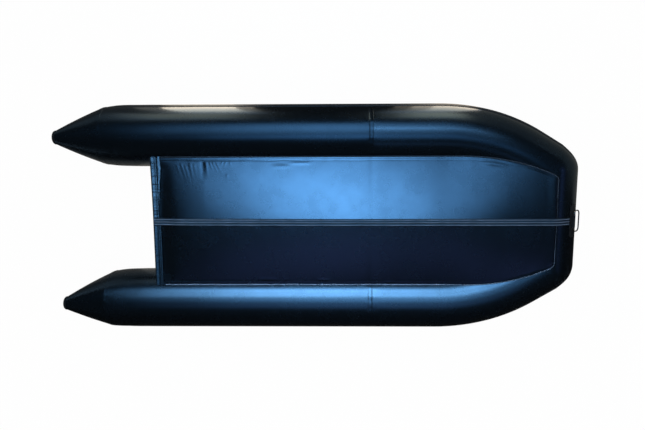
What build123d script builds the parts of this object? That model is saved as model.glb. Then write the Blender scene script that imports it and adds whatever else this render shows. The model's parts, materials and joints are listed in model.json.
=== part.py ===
"""Inflatable boat with a transom, stored turned over: it lies on its tubes, keel up, bow towards +X.

All sizes are in millimetres. Z is the height above the floor that the tubes lie on, so the bottom of
the boat faces +Z and its deck side faces the floor. The starboard side is at +Y.
"""
import math
import os

from build123d import *

# Driving dimensions of the hull
overall_length = 3300.0       # from the cone caps to the front of the rubbing strake
tube_diameter = 380.0
tube_spacing = 1062.0         # between the axes of the two side tubes
bow_chamber_length = 1330.0   # from the front of the strake back to the chamber seams
bend_radius = 1140.0          # axis of the tube, where it swings in towards the bow
bend_angle = 29.0             # degrees of that swing
corner_run = 160.0            # straight run from the swing to the bow's corner
fabric_thickness = 3.0        # bottom fabric with its coating
glue_gap = 0.3                # left between pieces that are glued or laid together
panel_gap = 0.9               # under the edge of the bottom panels

# Stern cones: the keel-side line of each cone runs on straight from the tube
cone_length = 260.0
cone_tip_radius = 38.0
cap_length = 18.0
cap_lip = 3.0
cap_round = 12.0
shoulder_length = 62.0        # where the tube begins to narrow ahead of the cone
shoulder_taper = 6.0          # of the radius, over that length

# Seam bands and rubbing strake
band_width = 30.0
band_thickness = 1.5
band_sectors = ((13.0, 128.0), (163.0, 347.0))  # degrees, clear of the strake and the bottom
strake_width = 70.0
strake_proud = 12.0
strake_start_gap = 20.0       # from the tube's shoulder to the end of the strake
strake_edge = 3.0             # height of the strake's side walls
strake_bead = 9.0             # half the height of the strake's middle bead
strake_groove = 4.0           # depth of the grooves beside that bead

# Bottom sheet: edge line on the tubes, seen from above the keel
sheet_edge_angle = 49.7       # degrees round the tube, from level inboard up to the sheet's edge
sheet_bend_setback = 750.0    # from the front of the strake to where the edge starts to swing in
sheet_front_lap = 40.0        # of the front edge past the top of the bow tube
sheet_corner_inset = 27.5     # of the sheet's corner inside the corner of the bow tube
flange_width = 8.0            # glued margin of the sheet, lying on the tube
flange_thickness = 1.5
flange_start = 150.0          # from the transom to the full width of that margin
keel_stations = [
    # run (0 from the transom, 1 from the edge's swing), share of that run, keel above the tubes
    (0, 0.239, 0.0),
    (0, 0.531, 9.0),
    (0, 0.896, 9.0),
    (1, 0.0, 8.5),
    (1, 0.22, 8.0),
    (1, 0.42, 7.0),
    (1, 0.60, 6.0),
    (1, 0.77, 5.0),
    (1, 0.895, 4.5),
]
keel_step = 18.0              # depth of the keel below the tubes where the margin gets its full width

# Keel strip
keel_strip_width = 48.0
keel_strip_base = 2.5
keel_rib_width = 6.0
keel_rib_height = 2.5
keel_rib_pitch = 16.0
keel_strip_wrap = 34.0        # degrees that the strip runs on round the bow tube

# Transom
transom_setback = 613.0       # from the cone caps to the middle of the board
transom_thickness = 28.0
transom_floor_gap = 17.5      # from the motor edge to the floor
transom_shoulder = 40.0       # rise of the sloping edges beside the motor edge
transom_motor_width = 460.0
transom_edge_round = 3.0
hem_thickness = 3.0
hem_leg = 40.0
hem_lip = 32.0                # strip of the hem that lies on the bottom sheet
channel_web = 8.0
channel_wall = 8.0
channel_height = 30.0
channel_angles = (-44.0, 26.0)  # degrees from level, towards the floor and towards the keel
pad_width = 300.0
outer_pad_height = 170.0
inner_pad_height = 90.0
pad_thickness = 6.0
pad_corner = 18.0
pad_edge_gap = 8.0            # from the motor edge to the pads

# Floor boards, stringers and joint strips
floor_level_share = 0.37      # deck face of the boards above the tube axis, over the tube's radius
floor_thickness = 12.0
floor_aft_gap = 14.0
floor_joint_gap = 4.0
floor_front_gap = 22.0
floor_sections = 3            # equal boards between the transom and the bow board
bow_board_overlap = 155.0     # of the bow board into the straight stretch of the tubes
stringer_wall = 2.5
stringer_flange = 22.0
stringer_aft_gap = 83.0
stringer_front_gap = 40.0
joint_flange = 30.0
joint_wall = 1.5

# Bench and its rails
bench_seam_gap = 380.0        # from the middle of the bench to the chamber seams
bench_width = 220.0
bench_thickness = 22.0
bench_drop_share = 0.59       # face of the bench towards the keel, below the tube axis, over the tube's radius
bench_round = 40.0
rail_angle = 218.0            # degrees round the tube from outboard, over the keel side
rail_spread = 7.0             # degrees on each side of that
rail_thickness = 3.0
rail_bead_radius = 6.0
rail_length = 640.0

# Fittings
oarlock_bench_gap = 360.0     # from the middle of the bench
oarlock_angle = -45.0
oarlock_base_radius = 52.0
oarlock_base_height = 10.0
oarlock_boss_radius = 19.0
oarlock_boss_height = 18.0
oarlock_pin_radius = 9.0
oarlock_pin_length = 26.0
valve_angle = 196.0
valve_transom_gap = 163.0
valve_seam_gap = 150.0
valve_flange_radius = 34.0
valve_flange_height = 5.0
valve_cap_radius = 24.0
valve_cap_height = 9.0
handle_transom_gap = 333.0
handle_pad_length = 220.0
handle_pad_spread = 11.0
handle_pad_thickness = 3.5
handle_grip_radius = 9.0
handle_reach = 36.0           # clear space under the grip
handle_post_spacing = 130.0
drain_y = -250.0
drain_hem_gap = 13.0          # from the flange to the hem
drain_flange_radius = 30.0
drain_plug_radius = 19.0
drain_flange_thickness = 6.0
drain_plug_length = 10.0

# Towing ring at the bow
ring_angle = 47.0             # degrees from level, up towards the keel
ring_wire_radius = 4.0
ring_width = 140.0            # outside
ring_depth = 66.0             # from the bar's axis to the outside of the bow
ring_corner = 24.0
ring_standoff = 12.0          # of the bar's axis above the patch
ring_clearance = 0.3
patch_angles = (29.0, 54.0)
patch_length = 210.0
patch_thickness = 3.0
patch_corner = 26.0
sleeve_length = 76.0
sleeve_wall = 4.5

# Sizes worked out from the driving dimensions
tube_radius = tube_diameter / 2
tube_y = tube_spacing / 2
axis_z = tube_radius + band_thickness
bow_axis_x = overall_length / 2 - strake_proud - tube_radius
chamber_seam_x = overall_length / 2 - bow_chamber_length
turn_angle = 90.0 - bend_angle
bend_start_x = (bow_axis_x - bend_radius * math.sin(math.radians(bend_angle))
                - corner_run * math.cos(math.radians(bend_angle)))
corner_y = (tube_y - bend_radius * (1 - math.cos(math.radians(bend_angle)))
            - corner_run * math.sin(math.radians(bend_angle)))
cone_tip_x = cap_length - overall_length / 2
cone_seam_x = cone_tip_x + cone_length
shoulder_x = cone_seam_x + shoulder_length
shoulder_radius = tube_radius - shoulder_taper
transom_x = transom_setback - overall_length / 2
transom_front_x = transom_x + transom_thickness / 2
transom_aft_x = transom_x - transom_thickness / 2
transom_deck_drop = axis_z - transom_floor_gap
transom_keel_height = tube_radius * math.sin(math.radians(sheet_edge_angle)) + band_thickness
sheet_aft_x = transom_front_x + hem_thickness + glue_gap
sheet_bend_x = overall_length / 2 - sheet_bend_setback
sheet_front_x = bow_axis_x + sheet_front_lap
sheet_half_width = tube_y - tube_radius * math.cos(math.radians(sheet_edge_angle))
sheet_corner_y = corner_y - sheet_corner_inset
floor_level = floor_level_share * tube_radius
floor_board_length = (bend_start_x - bow_board_overlap - transom_front_x) / floor_sections
floor_joint_x = [transom_front_x + (k + 1) * floor_board_length for k in range(floor_sections)]
bench_x = chamber_seam_x - bench_seam_gap
bench_drop = bench_drop_share * tube_radius
oarlock_x = bench_x - oarlock_bench_gap
handle_x = transom_front_x + handle_transom_gap
sides = {"starboard": 1, "port": -1}


def cross_plane(x, y=0.0, z=0.0):
    """Plane across the boat: local x is outboard to starboard, local y is up."""
    return Plane(origin=(x, y, z), x_dir=(0, 1, 0), z_dir=(1, 0, 0))


def long_plane(y=0.0, x=0.0, z=0.0):
    """Plane along the boat: local x is towards the bow, local y is up."""
    return Plane(origin=(x, y, z), x_dir=(1, 0, 0), z_dir=(0, -1, 0))


def on_side(shape, side):
    """Starboard shapes are modelled; the port ones are their mirror image."""
    return shape if side > 0 else mirror(shape, about=Plane.XZ)


def polygon(points):
    return Polygon(*points, align=None)


def ring_sector(inner, outer, start, end):
    """Part of a flat ring between two angles, in degrees from local x."""
    a, b = math.radians(start), math.radians(end)
    return make_face([
        CenterArc((0, 0), outer, start, end - start),
        Line((outer * math.cos(b), outer * math.sin(b)), (inner * math.cos(b), inner * math.sin(b))),
        CenterArc((0, 0), inner, start, end - start),
        Line((inner * math.cos(a), inner * math.sin(a)), (outer * math.cos(a), outer * math.sin(a))),
    ])


def tube_sector(x0, x1, inner, outer, start, end):
    """Strip that lies along the starboard tube."""
    return extrude(cross_plane(x0, tube_y, axis_z) * ring_sector(inner, outer, start, end), amount=x1 - x0)


def tube_bar(x0, x1, radius):
    """Round bar on the axis of the starboard tube."""
    return extrude(cross_plane(x0, tube_y, axis_z) * Circle(radius), amount=x1 - x0)


# Tubes

def section_plane(x, y, heading):
    """Plane across the starboard tube at a heading in degrees: local x is outboard, local y is up."""
    c, s = math.cos(math.radians(heading)), math.sin(math.radians(heading))
    return Plane(origin=(x, y, axis_z), x_dir=(s, c, 0), z_dir=(c, -s, 0))


def along_tube(profile, start_x, turn_profile=None):
    """Carries a profile from start_x along the tube and round the bow, on both sides."""
    run = [
        # kind, length or radius, degrees
        ("line", bend_start_x - start_x, 0.0),
        ("swing", bend_radius, bend_angle),
        ("line", corner_run, 0.0),
        ("turn", 0.0, turn_angle),
        ("line", corner_y, 0.0),
    ]
    x, y, heading = start_x, tube_y, 0.0
    half = None
    for kind, size, degrees in run:
        plane = section_plane(x, y, heading)
        if kind == "line":
            piece = extrude(plane * profile, amount=size)
            x += size * plane.z_dir.X
            y += size * plane.z_dir.Y
        else:
            section = turn_profile if kind == "turn" and turn_profile else profile
            centre = plane.origin - plane.x_dir * size
            piece = revolve(plane * section, Axis(centre, (0, 0, -1)), degrees)
            heading += degrees
            outboard = section_plane(0, 0, heading).x_dir
            x, y = centre.X + size * outboard.X, centre.Y + size * outboard.Y
        half = piece if half is None else half + piece
    return half + mirror(half, about=Plane.XZ)


def half_disc(radius):
    return make_face([CenterArc((0, 0), radius, -90, 180), Line((0, radius), (0, -radius))])


def bow_tube(radius, start_x):
    return along_tube(Circle(radius), start_x, half_disc(radius))


def stern_radius(x):
    """Radius of the tube and its cone at the stern."""
    stations = [(cone_tip_x, cone_tip_radius), (cone_seam_x, shoulder_radius), (shoulder_x, tube_radius)]
    for (x0, r0), (x1, r1) in zip(stations, stations[1:]):
        if x <= x1:
            return r0 + (r1 - r0) * (x - x0) / (x1 - x0)
    return tube_radius


def stern_disc(x, grow=0.0):
    """Section at the stern: its centre rises as it narrows, so that the keel-side line stays straight."""
    radius = stern_radius(x)
    return cross_plane(x, tube_y, axis_z + tube_radius - radius) * Circle(radius + grow)


def side_tube():
    shoulder = loft([stern_disc(cone_seam_x), stern_disc(shoulder_x)], ruled=True)
    return shoulder + tube_bar(shoulder_x, chamber_seam_x, tube_radius)


def stern_cone():
    return loft([stern_disc(cone_tip_x), stern_disc(cone_seam_x)], ruled=True)


def cone_cap():
    centre = cross_plane(cone_tip_x, tube_y, axis_z + tube_radius - cone_tip_radius)
    cap = extrude(centre * Circle(cone_tip_radius + cap_lip), amount=-cap_length)
    return fillet(cap.edges().group_by(Axis.X)[0], cap_round)


def chamber_band():
    """Tape over the chamber seam, on the keel side and on the deck side of the strake."""
    x0, x1 = chamber_seam_x - band_width / 2, chamber_seam_x + band_width / 2
    return Compound(children=[
        tube_sector(x0, x1, tube_radius + glue_gap, tube_radius + band_thickness, start, end)
        for start, end in band_sectors])


def cone_band():
    stations = [cone_seam_x - band_width / 2, cone_seam_x, cone_seam_x + band_width / 2]
    outer, inner = (loft([stern_disc(x, grow) for x in stations], ruled=True)
                    for grow in (band_thickness, glue_gap))
    return outer - inner


def rub_strake():
    """Rubbing strake with a middle bead between two grooves, hugging the outside of the tube."""
    foot = tube_radius + glue_gap
    crown = tube_radius + strake_proud
    half = strake_width / 2
    foot_x = math.sqrt(foot ** 2 - half ** 2)
    shoulder = foot_x + strake_edge
    groove = crown - strake_groove
    upper = [(shoulder, half), (groove + strake_edge, half / 2), (groove, half / 2 - strake_edge),
             (groove, strake_bead), (crown, strake_bead / 2)]
    outline = upper + [(x, -y) for x, y in reversed(upper)]
    profile = make_face([
        Polyline((foot_x, half), *outline, (foot_x, -half)),
        ThreePointArc((foot_x, -half), (foot, 0), (foot_x, half)),
    ])
    return along_tube(profile, shoulder_x + strake_start_gap)


# Bottom

def tube_reach(x, y):
    """Distance in plan from a point to the nearest stretch of tube axis ahead of the transom."""
    swing_y = tube_y - bend_radius
    run_start = (bend_start_x + bend_radius * math.sin(math.radians(bend_angle)),
                 swing_y + bend_radius * math.cos(math.radians(bend_angle)))
    ux, uy = math.cos(math.radians(bend_angle)), -math.sin(math.radians(bend_angle))
    along = min(max((x - run_start[0]) * ux + (y - run_start[1]) * uy, 0.0), corner_run)
    reaches = [
        math.hypot(max(x - bend_start_x, 0.0), y - tube_y),
        math.hypot(x - run_start[0] - along * ux, y - run_start[1] - along * uy),
        math.hypot(x - bow_axis_x, max(abs(y) - corner_y, 0.0)),
    ]
    if 0 <= math.degrees(math.atan2(x - bend_start_x, y - swing_y)) <= bend_angle:
        reaches.append(abs(math.hypot(x - bend_start_x, y - swing_y) - bend_radius))
    return min(reaches)


def tube_crown(x, y):
    """Height of the tube's keel side above a point in plan."""
    return axis_z + math.sqrt(tube_radius ** 2 - tube_reach(x, y) ** 2)


def sheet_edge_y(x):
    """Half width of the bottom sheet: straight along the tubes, then an arc to the bow's corner."""
    if x <= sheet_bend_x:
        return sheet_half_width
    run, drop = sheet_front_x - sheet_bend_x, sheet_half_width - sheet_corner_y
    radius = (run ** 2 + drop ** 2) / (2 * drop)
    return sheet_half_width - radius + math.sqrt(radius ** 2 - (x - sheet_bend_x) ** 2)


def bottom_stations():
    """Sections of the bottom: x, half width, edge height and keel height."""
    panel_front_x = bow_axis_x - glue_gap
    cover = fabric_thickness + panel_gap
    runs = [(sheet_aft_x, sheet_bend_x), (sheet_bend_x, panel_front_x)]
    flat = transom_keel_height + fabric_thickness / 3
    step = tube_radius - keel_step
    shape = [
        # x, share of the glued margin left uncovered, keel height above the tube axis
        (sheet_aft_x, 0.5, transom_keel_height),
        (sheet_aft_x + hem_lip + 2 * fabric_thickness, 0.6, flat),
        (sheet_aft_x + 0.6 * flange_start, 0.8, (flat + step) / 2),
        (sheet_aft_x + flange_start, 1.0, step),
    ]
    for run, share, rise in keel_stations:
        start, end = runs[run]
        shape.append((start + share * (end - start), 1.0, tube_radius + rise))
    shape.append((panel_front_x, 1.0, tube_radius + cover + glue_gap))
    stations = []
    for x, margin, keel in shape:
        y = sheet_edge_y(x) - margin * flange_width - glue_gap
        edge_z = tube_crown(x, y) + cover
        stations.append((x, y, edge_z, axis_z + keel))
    return stations


def bottom_panel():
    """Half of the bottom, from the keel to the tube: flat facets, two between each pair of stations."""
    panel = None
    stations = bottom_stations()
    for (x0, y0, edge0, keel0), (x1, y1, edge1, keel1) in zip(stations, stations[1:]):
        for corners in (((x0, 0, keel0), (x0, y0, edge0), (x1, 0, keel1)),
                        ((x0, y0, edge0), (x1, y1, edge1), (x1, 0, keel1))):
            facet = extrude(make_face(Polyline(*corners, close=True)), amount=fabric_thickness, dir=(0, 0, -1))
            panel = facet if panel is None else panel + facet
    return panel


def sheet_outline(inset, aft_x):
    """Plan of the bottom sheet, with its side edges moved in by inset."""
    half, corner = sheet_half_width - inset, sheet_corner_y - inset
    edges = [Line((aft_x, -half), (aft_x, half)), Line((sheet_front_x, corner), (sheet_front_x, -corner))]
    for sign in (1, -1):
        edges.append(Line((aft_x, sign * half), (sheet_bend_x, sign * half)))
        edges.append(TangentArc((sheet_bend_x, sign * half), (sheet_front_x, sign * corner), tangent=(1, 0)))
    return make_face(edges)


def sheet_flange():
    """Glued margin of the bottom sheet: a strip of fabric that lies on the tubes all round it."""
    aft_x = sheet_aft_x + flange_start
    base = Plane.XY.offset(axis_z)
    inside = extrude(base * sheet_outline(flange_width, aft_x - 1.0), amount=tube_diameter)
    ahead = Pos(bow_axis_x + overall_length / 2, 0, axis_z) * Box(overall_length, tube_spacing, 4 * tube_diameter)
    prism = extrude(base * sheet_outline(0.0, aft_x), amount=tube_diameter) - (inside - ahead)
    start_x = aft_x - flange_width
    return ((prism & bow_tube(tube_radius + glue_gap + flange_thickness, start_x))
            - bow_tube(tube_radius + glue_gap, start_x - 1.0))


def keel_strip():
    """Ribbed strip over the seam of the two panels, from the hem to the front of the bow tube."""
    half = keel_strip_width / 2
    steps = [(-half, keel_strip_base)]
    for k in (-1, 0, 1):
        left, right = k * keel_rib_pitch - keel_rib_width / 2, k * keel_rib_pitch + keel_rib_width / 2
        top = keel_strip_base + keel_rib_height
        steps += [(left, keel_strip_base), (left, top), (right, top), (right, keel_strip_base)]
    steps.append((half, keel_strip_base))

    def section(x, keel_z, slope):
        floor_z = keel_z + glue_gap
        top = [(y, floor_z - abs(y) * slope + h) for y, h in steps]
        return cross_plane(x) * polygon(
            top + [(half, floor_z - half * slope), (0, floor_z), (-half, floor_z - half * slope)])

    stations = bottom_stations()
    slopes = [(keel_z - edge_z) / y for x, y, edge_z, keel_z in stations]
    sections = [section(stations[k][0], stations[k][3], min(slopes[k - 1], slopes[k]))
                for k in range(1, len(stations) - 1)]
    crown_z = stations[-1][3]
    last = section(bow_axis_x, crown_z, 0.0)
    wrap = revolve(last, Axis((bow_axis_x, 0, axis_z), (0, 1, 0)), keel_strip_wrap)
    return loft(sections + [last], ruled=True) + wrap


# Transom

def transom_board():
    keel, deck = transom_keel_height - hem_thickness - glue_gap, -transom_deck_drop
    shoulder = deck + transom_shoulder
    reach, motor = tube_y, transom_motor_width / 2
    outline = polygon([
        (-reach, keel), (reach, keel), (reach, shoulder),
        (motor, deck), (-motor, deck), (-reach, shoulder)])
    board = extrude(cross_plane(transom_aft_x, 0, axis_z) * outline, amount=transom_thickness, dir=(1, 0, 0))
    seat = tube_bar(transom_aft_x - 1.0, transom_front_x + 1.0, tube_radius + channel_web + glue_gap)
    board = board - seat - mirror(seat, about=Plane.XZ)
    motor_edges = board.edges().filter_by(Axis.Y).group_by(Axis.Z)[0]
    return fillet(motor_edges, transom_edge_round)


def transom_channel():
    """Moulded channel on the tube that holds the end of the board."""
    low, high = (180.0 - angle for angle in reversed(channel_angles))
    half = transom_thickness / 2 + glue_gap
    body = tube_sector(transom_x - half - channel_wall, transom_x + half + channel_wall,
                       tube_radius + glue_gap, tube_radius + channel_height, low, high)
    slot = tube_sector(transom_x - half, transom_x + half,
                       tube_radius + channel_web, tube_radius + 2 * channel_height, low - 1, high + 1)
    return body - slot


def transom_hem():
    """Fabric strip folded over the keel-side edge of the board and on to the bottom sheet."""
    top = axis_z + transom_keel_height
    aft, front = transom_aft_x - hem_thickness - glue_gap, transom_front_x + hem_thickness
    seat = top - hem_thickness
    lip_foot = top + fabric_thickness / 3 + glue_gap
    lip_top = lip_foot + flange_thickness
    profile = polygon([
        (aft, seat - hem_leg), (aft, lip_top), (sheet_aft_x + hem_lip, lip_top), (sheet_aft_x + hem_lip, lip_foot),
        (front, lip_foot), (front, seat - hem_leg), (transom_front_x + glue_gap, seat - hem_leg),
        (transom_front_x + glue_gap, seat), (transom_aft_x - glue_gap, seat),
        (transom_aft_x - glue_gap, seat - hem_leg)])
    strip = extrude(long_plane(tube_y) * profile, amount=2 * tube_y, dir=(0, -1, 0))
    tube = tube_bar(aft - 1.0, sheet_aft_x + hem_lip + 1.0, tube_radius + glue_gap)
    return strip - tube - mirror(tube, about=Plane.XZ)


def transom_pad(place):
    """Plate that takes the motor's clamp, on the outer (aft) or inner face of the board."""
    height = outer_pad_height if place == "outer" else inner_pad_height
    centre_z = axis_z - transom_deck_drop + pad_edge_gap + height / 2
    x, amount = ((transom_aft_x - glue_gap, -pad_thickness) if place == "outer"
                 else (transom_front_x + glue_gap, pad_thickness))
    return extrude(cross_plane(x, 0, centre_z) * RectangleRounded(pad_width, height, pad_corner), amount=amount)


def drain_valve():
    """Drain socket with its plug, on the aft face of the board."""
    height = transom_keel_height - hem_thickness - hem_leg - drain_hem_gap - drain_flange_radius
    plane = cross_plane(transom_aft_x - glue_gap, drain_y, axis_z + height)
    flange = extrude(plane * Circle(drain_flange_radius), amount=-drain_flange_thickness)
    plug = extrude(plane * RegularPolygon(drain_plug_radius, 8), amount=-drain_flange_thickness - drain_plug_length)
    return flange + plug


# Floor

floor_half = tube_y - math.sqrt(tube_radius ** 2 - (floor_level - stringer_wall - glue_gap) ** 2) - glue_gap
floor_inset = tube_y - floor_half


def floor_outline():
    """Plan of the floor between the tubes, from the transom to the bow tube."""
    aft_x, front_x = transom_front_x + floor_aft_gap, bow_axis_x - floor_inset - floor_front_gap
    swing_y, radius = tube_y - bend_radius, bend_radius - floor_inset
    front_y = swing_y + math.sqrt(radius ** 2 - (front_x - bend_start_x) ** 2)
    edges = [Line((aft_x, -floor_half), (aft_x, floor_half)), Line((front_x, front_y), (front_x, -front_y))]
    for sign in (1, -1):
        edges.append(Line((aft_x, sign * floor_half), (bend_start_x, sign * floor_half)))
        edges.append(TangentArc((bend_start_x, sign * floor_half), (front_x, sign * front_y), tangent=(1, 0)))
    return make_face(edges)


def floor_boards():
    """Sectional floor: one board between each pair of joints, trimmed at its sides for the stringers."""
    plan = extrude(Plane.XY.offset(axis_z + floor_level) * floor_outline(), amount=floor_thickness)
    ends = [transom_front_x, *floor_joint_x, overall_length]
    boards = []
    for k, (x0, x1) in enumerate(zip(ends, ends[1:])):
        lap = floor_joint_gap / 2
        start, end = (x0 if k == 0 else x0 + lap), x1 - lap
        half = tube_y if k == len(ends) - 2 else floor_half - stringer_wall - glue_gap
        cutter = Pos((start + end) / 2, 0, axis_z + floor_level) * Box(end - start, 2 * half, 4 * floor_thickness)
        boards.append(plan & cutter)
    return boards


def floor_joints():
    """Strips of H section that lock the boards together."""
    half = floor_half - stringer_flange - 2 * joint_wall
    middle = axis_z + floor_level + floor_thickness / 2
    offset = floor_thickness / 2 + glue_gap
    strips = []
    for x in floor_joint_x:
        web = Pos(x, 0, middle) * Box(floor_joint_gap - 2 * glue_gap, 2 * half, 2 * (offset + joint_wall))
        for sign in (1, -1):
            web = web + Pos(x, 0, middle + sign * (offset + joint_wall / 2)) * Box(joint_flange, 2 * half, joint_wall)
        strips.append(web)
    return Compound(children=strips)


def stringer():
    """Aluminium channel that clips over the side edges of the boards."""
    x0, x1 = transom_front_x + stringer_aft_gap, floor_joint_x[-1] - stringer_front_gap
    middle = axis_z + floor_level + floor_thickness / 2
    height = floor_thickness + 2 * (glue_gap + stringer_wall)
    outer = Pos((x0 + x1) / 2, floor_half - stringer_flange / 2, middle) * Box(x1 - x0, stringer_flange, height)
    groove = Pos((x0 + x1) / 2, floor_half - stringer_flange / 2 - stringer_wall, middle) * Box(
        x1 - x0, stringer_flange, floor_thickness + 2 * glue_gap)
    return outer - groove


# Bench

def bench_rail():
    """Strip on the tube with a bead that the end of the bench hooks over."""
    x0 = bench_x - rail_length / 2
    strip = tube_sector(x0, x0 + rail_length, tube_radius + glue_gap, tube_radius + rail_thickness,
                        rail_angle - rail_spread, rail_angle + rail_spread)
    reach = tube_radius + rail_thickness + rail_bead_radius / 2
    angle = math.radians(rail_angle)
    bead = extrude(cross_plane(x0, tube_y + reach * math.cos(angle), axis_z + reach * math.sin(angle))
                   * Circle(rail_bead_radius), amount=rail_length)
    return strip + bead


def bench():
    """Bench board whose ends are hollowed to sit over the beads of the rails."""
    board = extrude(Plane.XY.offset(axis_z - bench_drop)
                    * Pos(bench_x, 0) * RectangleRounded(bench_width, 2 * tube_y, bench_round),
                    amount=-bench_thickness)
    clear = tube_radius + rail_thickness + 1.5 * rail_bead_radius + glue_gap
    x0, x1 = bench_x - bench_width, bench_x + bench_width
    seat = tube_bar(x0, x1, clear)
    return board - seat - mirror(seat, about=Plane.XZ)


# Fittings

def tube_spot(x, angle):
    """Plane at the tube axis whose z points out through the tube at that angle round it."""
    a = math.radians(angle)
    return Plane(origin=(x, tube_y, axis_z), x_dir=(1, 0, 0), z_dir=(0, math.cos(a), math.sin(a)))


def studs_on_tube(x, angle, steps):
    """Stacked round bosses on the tube; steps are (radius, height above the tube)."""
    plane = tube_spot(x, angle)
    solid = None
    for radius, height in steps:
        boss = extrude(plane * Circle(radius), amount=tube_radius + height)
        solid = boss if solid is None else solid + boss
    reach = steps[0][0] + 1.0
    return solid - tube_bar(x - reach, x + reach, tube_radius + glue_gap)


def oarlock():
    top = oarlock_base_height + oarlock_boss_height
    return studs_on_tube(oarlock_x, oarlock_angle, [
        (oarlock_base_radius, oarlock_base_height), (oarlock_boss_radius, top),
        (oarlock_pin_radius, top + oarlock_pin_length)])


def inflation_valve(x):
    return studs_on_tube(x, valve_angle, [
        (valve_flange_radius, valve_flange_height), (valve_cap_radius, valve_flange_height + valve_cap_height)])


def grab_handle():
    """Handle on the inboard side of the tube: a pad, two posts and a round grip."""
    pad = tube_sector(handle_x - handle_pad_length / 2, handle_x + handle_pad_length / 2,
                      tube_radius + glue_gap, tube_radius + handle_pad_thickness,
                      180.0 - handle_pad_spread, 180.0 + handle_pad_spread)
    grip_y = tube_y - tube_radius - handle_pad_thickness - handle_reach - handle_grip_radius
    half = handle_post_spacing / 2
    path = FilletPolyline(
        (handle_x - half, tube_y - tube_radius - handle_pad_thickness / 2, axis_z), (handle_x - half, grip_y, axis_z),
        (handle_x + half, grip_y, axis_z), (handle_x + half, tube_y - tube_radius - handle_pad_thickness / 2, axis_z),
        radius=2 * handle_grip_radius)
    loop = sweep(Plane(origin=path @ 0, z_dir=path % 0) * Circle(handle_grip_radius), path=path)
    return pad + loop


def bow_spot(angle, reach):
    """Point beside the bow tube at an angle from level, up towards the keel."""
    a = math.radians(angle)
    return bow_axis_x + reach * math.cos(a), axis_z + reach * math.sin(a)


ring_reach = tube_radius + glue_gap + patch_thickness + ring_standoff


def bow_patch():
    """Patch on the bow tube with a sleeve for the towing ring's bar."""
    face = ring_sector(tube_radius + glue_gap, tube_radius + glue_gap + patch_thickness, *patch_angles)
    patch = extrude(long_plane(patch_length / 2, bow_axis_x, axis_z) * face, amount=patch_length)
    corner_edges = patch.edges().filter_by(lambda e: e.length < 2 * patch_thickness)
    patch = fillet(corner_edges, patch_corner)
    x, z = bow_spot(ring_angle, ring_reach)
    outer = ring_wire_radius + ring_clearance + sleeve_wall
    sleeve_plane = long_plane(sleeve_length / 2)
    foot = ring_sector(tube_radius + glue_gap + patch_thickness / 2, ring_reach,
                       ring_angle - math.degrees(outer / ring_reach), ring_angle + math.degrees(outer / ring_reach))
    sleeve = (extrude(sleeve_plane * Pos(bow_axis_x, axis_z) * foot, amount=sleeve_length)
              + extrude(sleeve_plane * Pos(x, z) * Circle(outer), amount=sleeve_length))
    bore = extrude(sleeve_plane * Pos(x, z) * Circle(ring_wire_radius + ring_clearance), amount=sleeve_length)
    return patch + (sleeve - bore)


def tow_ring():
    """D-shaped ring of round bar that swings in the sleeve; it hangs along the front of the bow tube."""
    x, z = bow_spot(ring_angle, ring_reach)
    a = math.radians(ring_angle)
    half = ring_width / 2 - ring_wire_radius
    depth = ring_depth - ring_wire_radius
    plane = Plane(origin=(x, 0, z), x_dir=(0, 1, 0), z_dir=(-math.cos(a), 0, -math.sin(a)))
    loop = Pos(0, depth / 2) * RectangleRounded(2 * half, depth, ring_corner)
    path = plane * loop.wire()
    start = path @ 0
    return sweep(Plane(origin=start, z_dir=path % 0) * Circle(ring_wire_radius), path=path)


def build():
    nodes = {"bow_tube": bow_tube(tube_radius, chamber_seam_x)}
    paired = {
        "side_tube": side_tube, "stern_cone": stern_cone, "cone_cap": cone_cap, "chamber_band": chamber_band,
        "cone_band": cone_band, "bottom_panel": bottom_panel, "transom_channel": transom_channel,
        "stringer": stringer, "bench_rail": bench_rail, "oarlock": oarlock, "grab_handle": grab_handle,
    }
    for name, make in paired.items():
        shape = make()
        for side, sign in sides.items():
            nodes[f"{name}_{side}"] = on_side(shape, sign)
    aft_valve = inflation_valve(transom_front_x + valve_transom_gap)
    for side, sign in sides.items():
        nodes[f"valve_{side}"] = on_side(aft_valve, sign)
    nodes["valve_bow"] = inflation_valve(chamber_seam_x + valve_seam_gap)
    for k, board in enumerate(floor_boards(), start=1):
        nodes[f"floor_board_{k}"] = board
    for place in ("outer", "inner"):
        nodes[f"transom_pad_{place}"] = transom_pad(place)
    for make in (rub_strake, sheet_flange, keel_strip, transom_board, transom_hem, drain_valve, floor_joints,
                 bench, bow_patch, tow_ring):
        nodes[make.__name__] = make()
    return nodes


if __name__ == "__main__":
    os.makedirs("parts", exist_ok=True)
    for node, shape in build().items():
        export_step(shape, f"parts/{node}.step")
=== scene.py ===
import json
import math

import bmesh
import bpy
from mathutils import Matrix, Vector, noise
from mathutils.bvhtree import BVHTree

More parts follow.
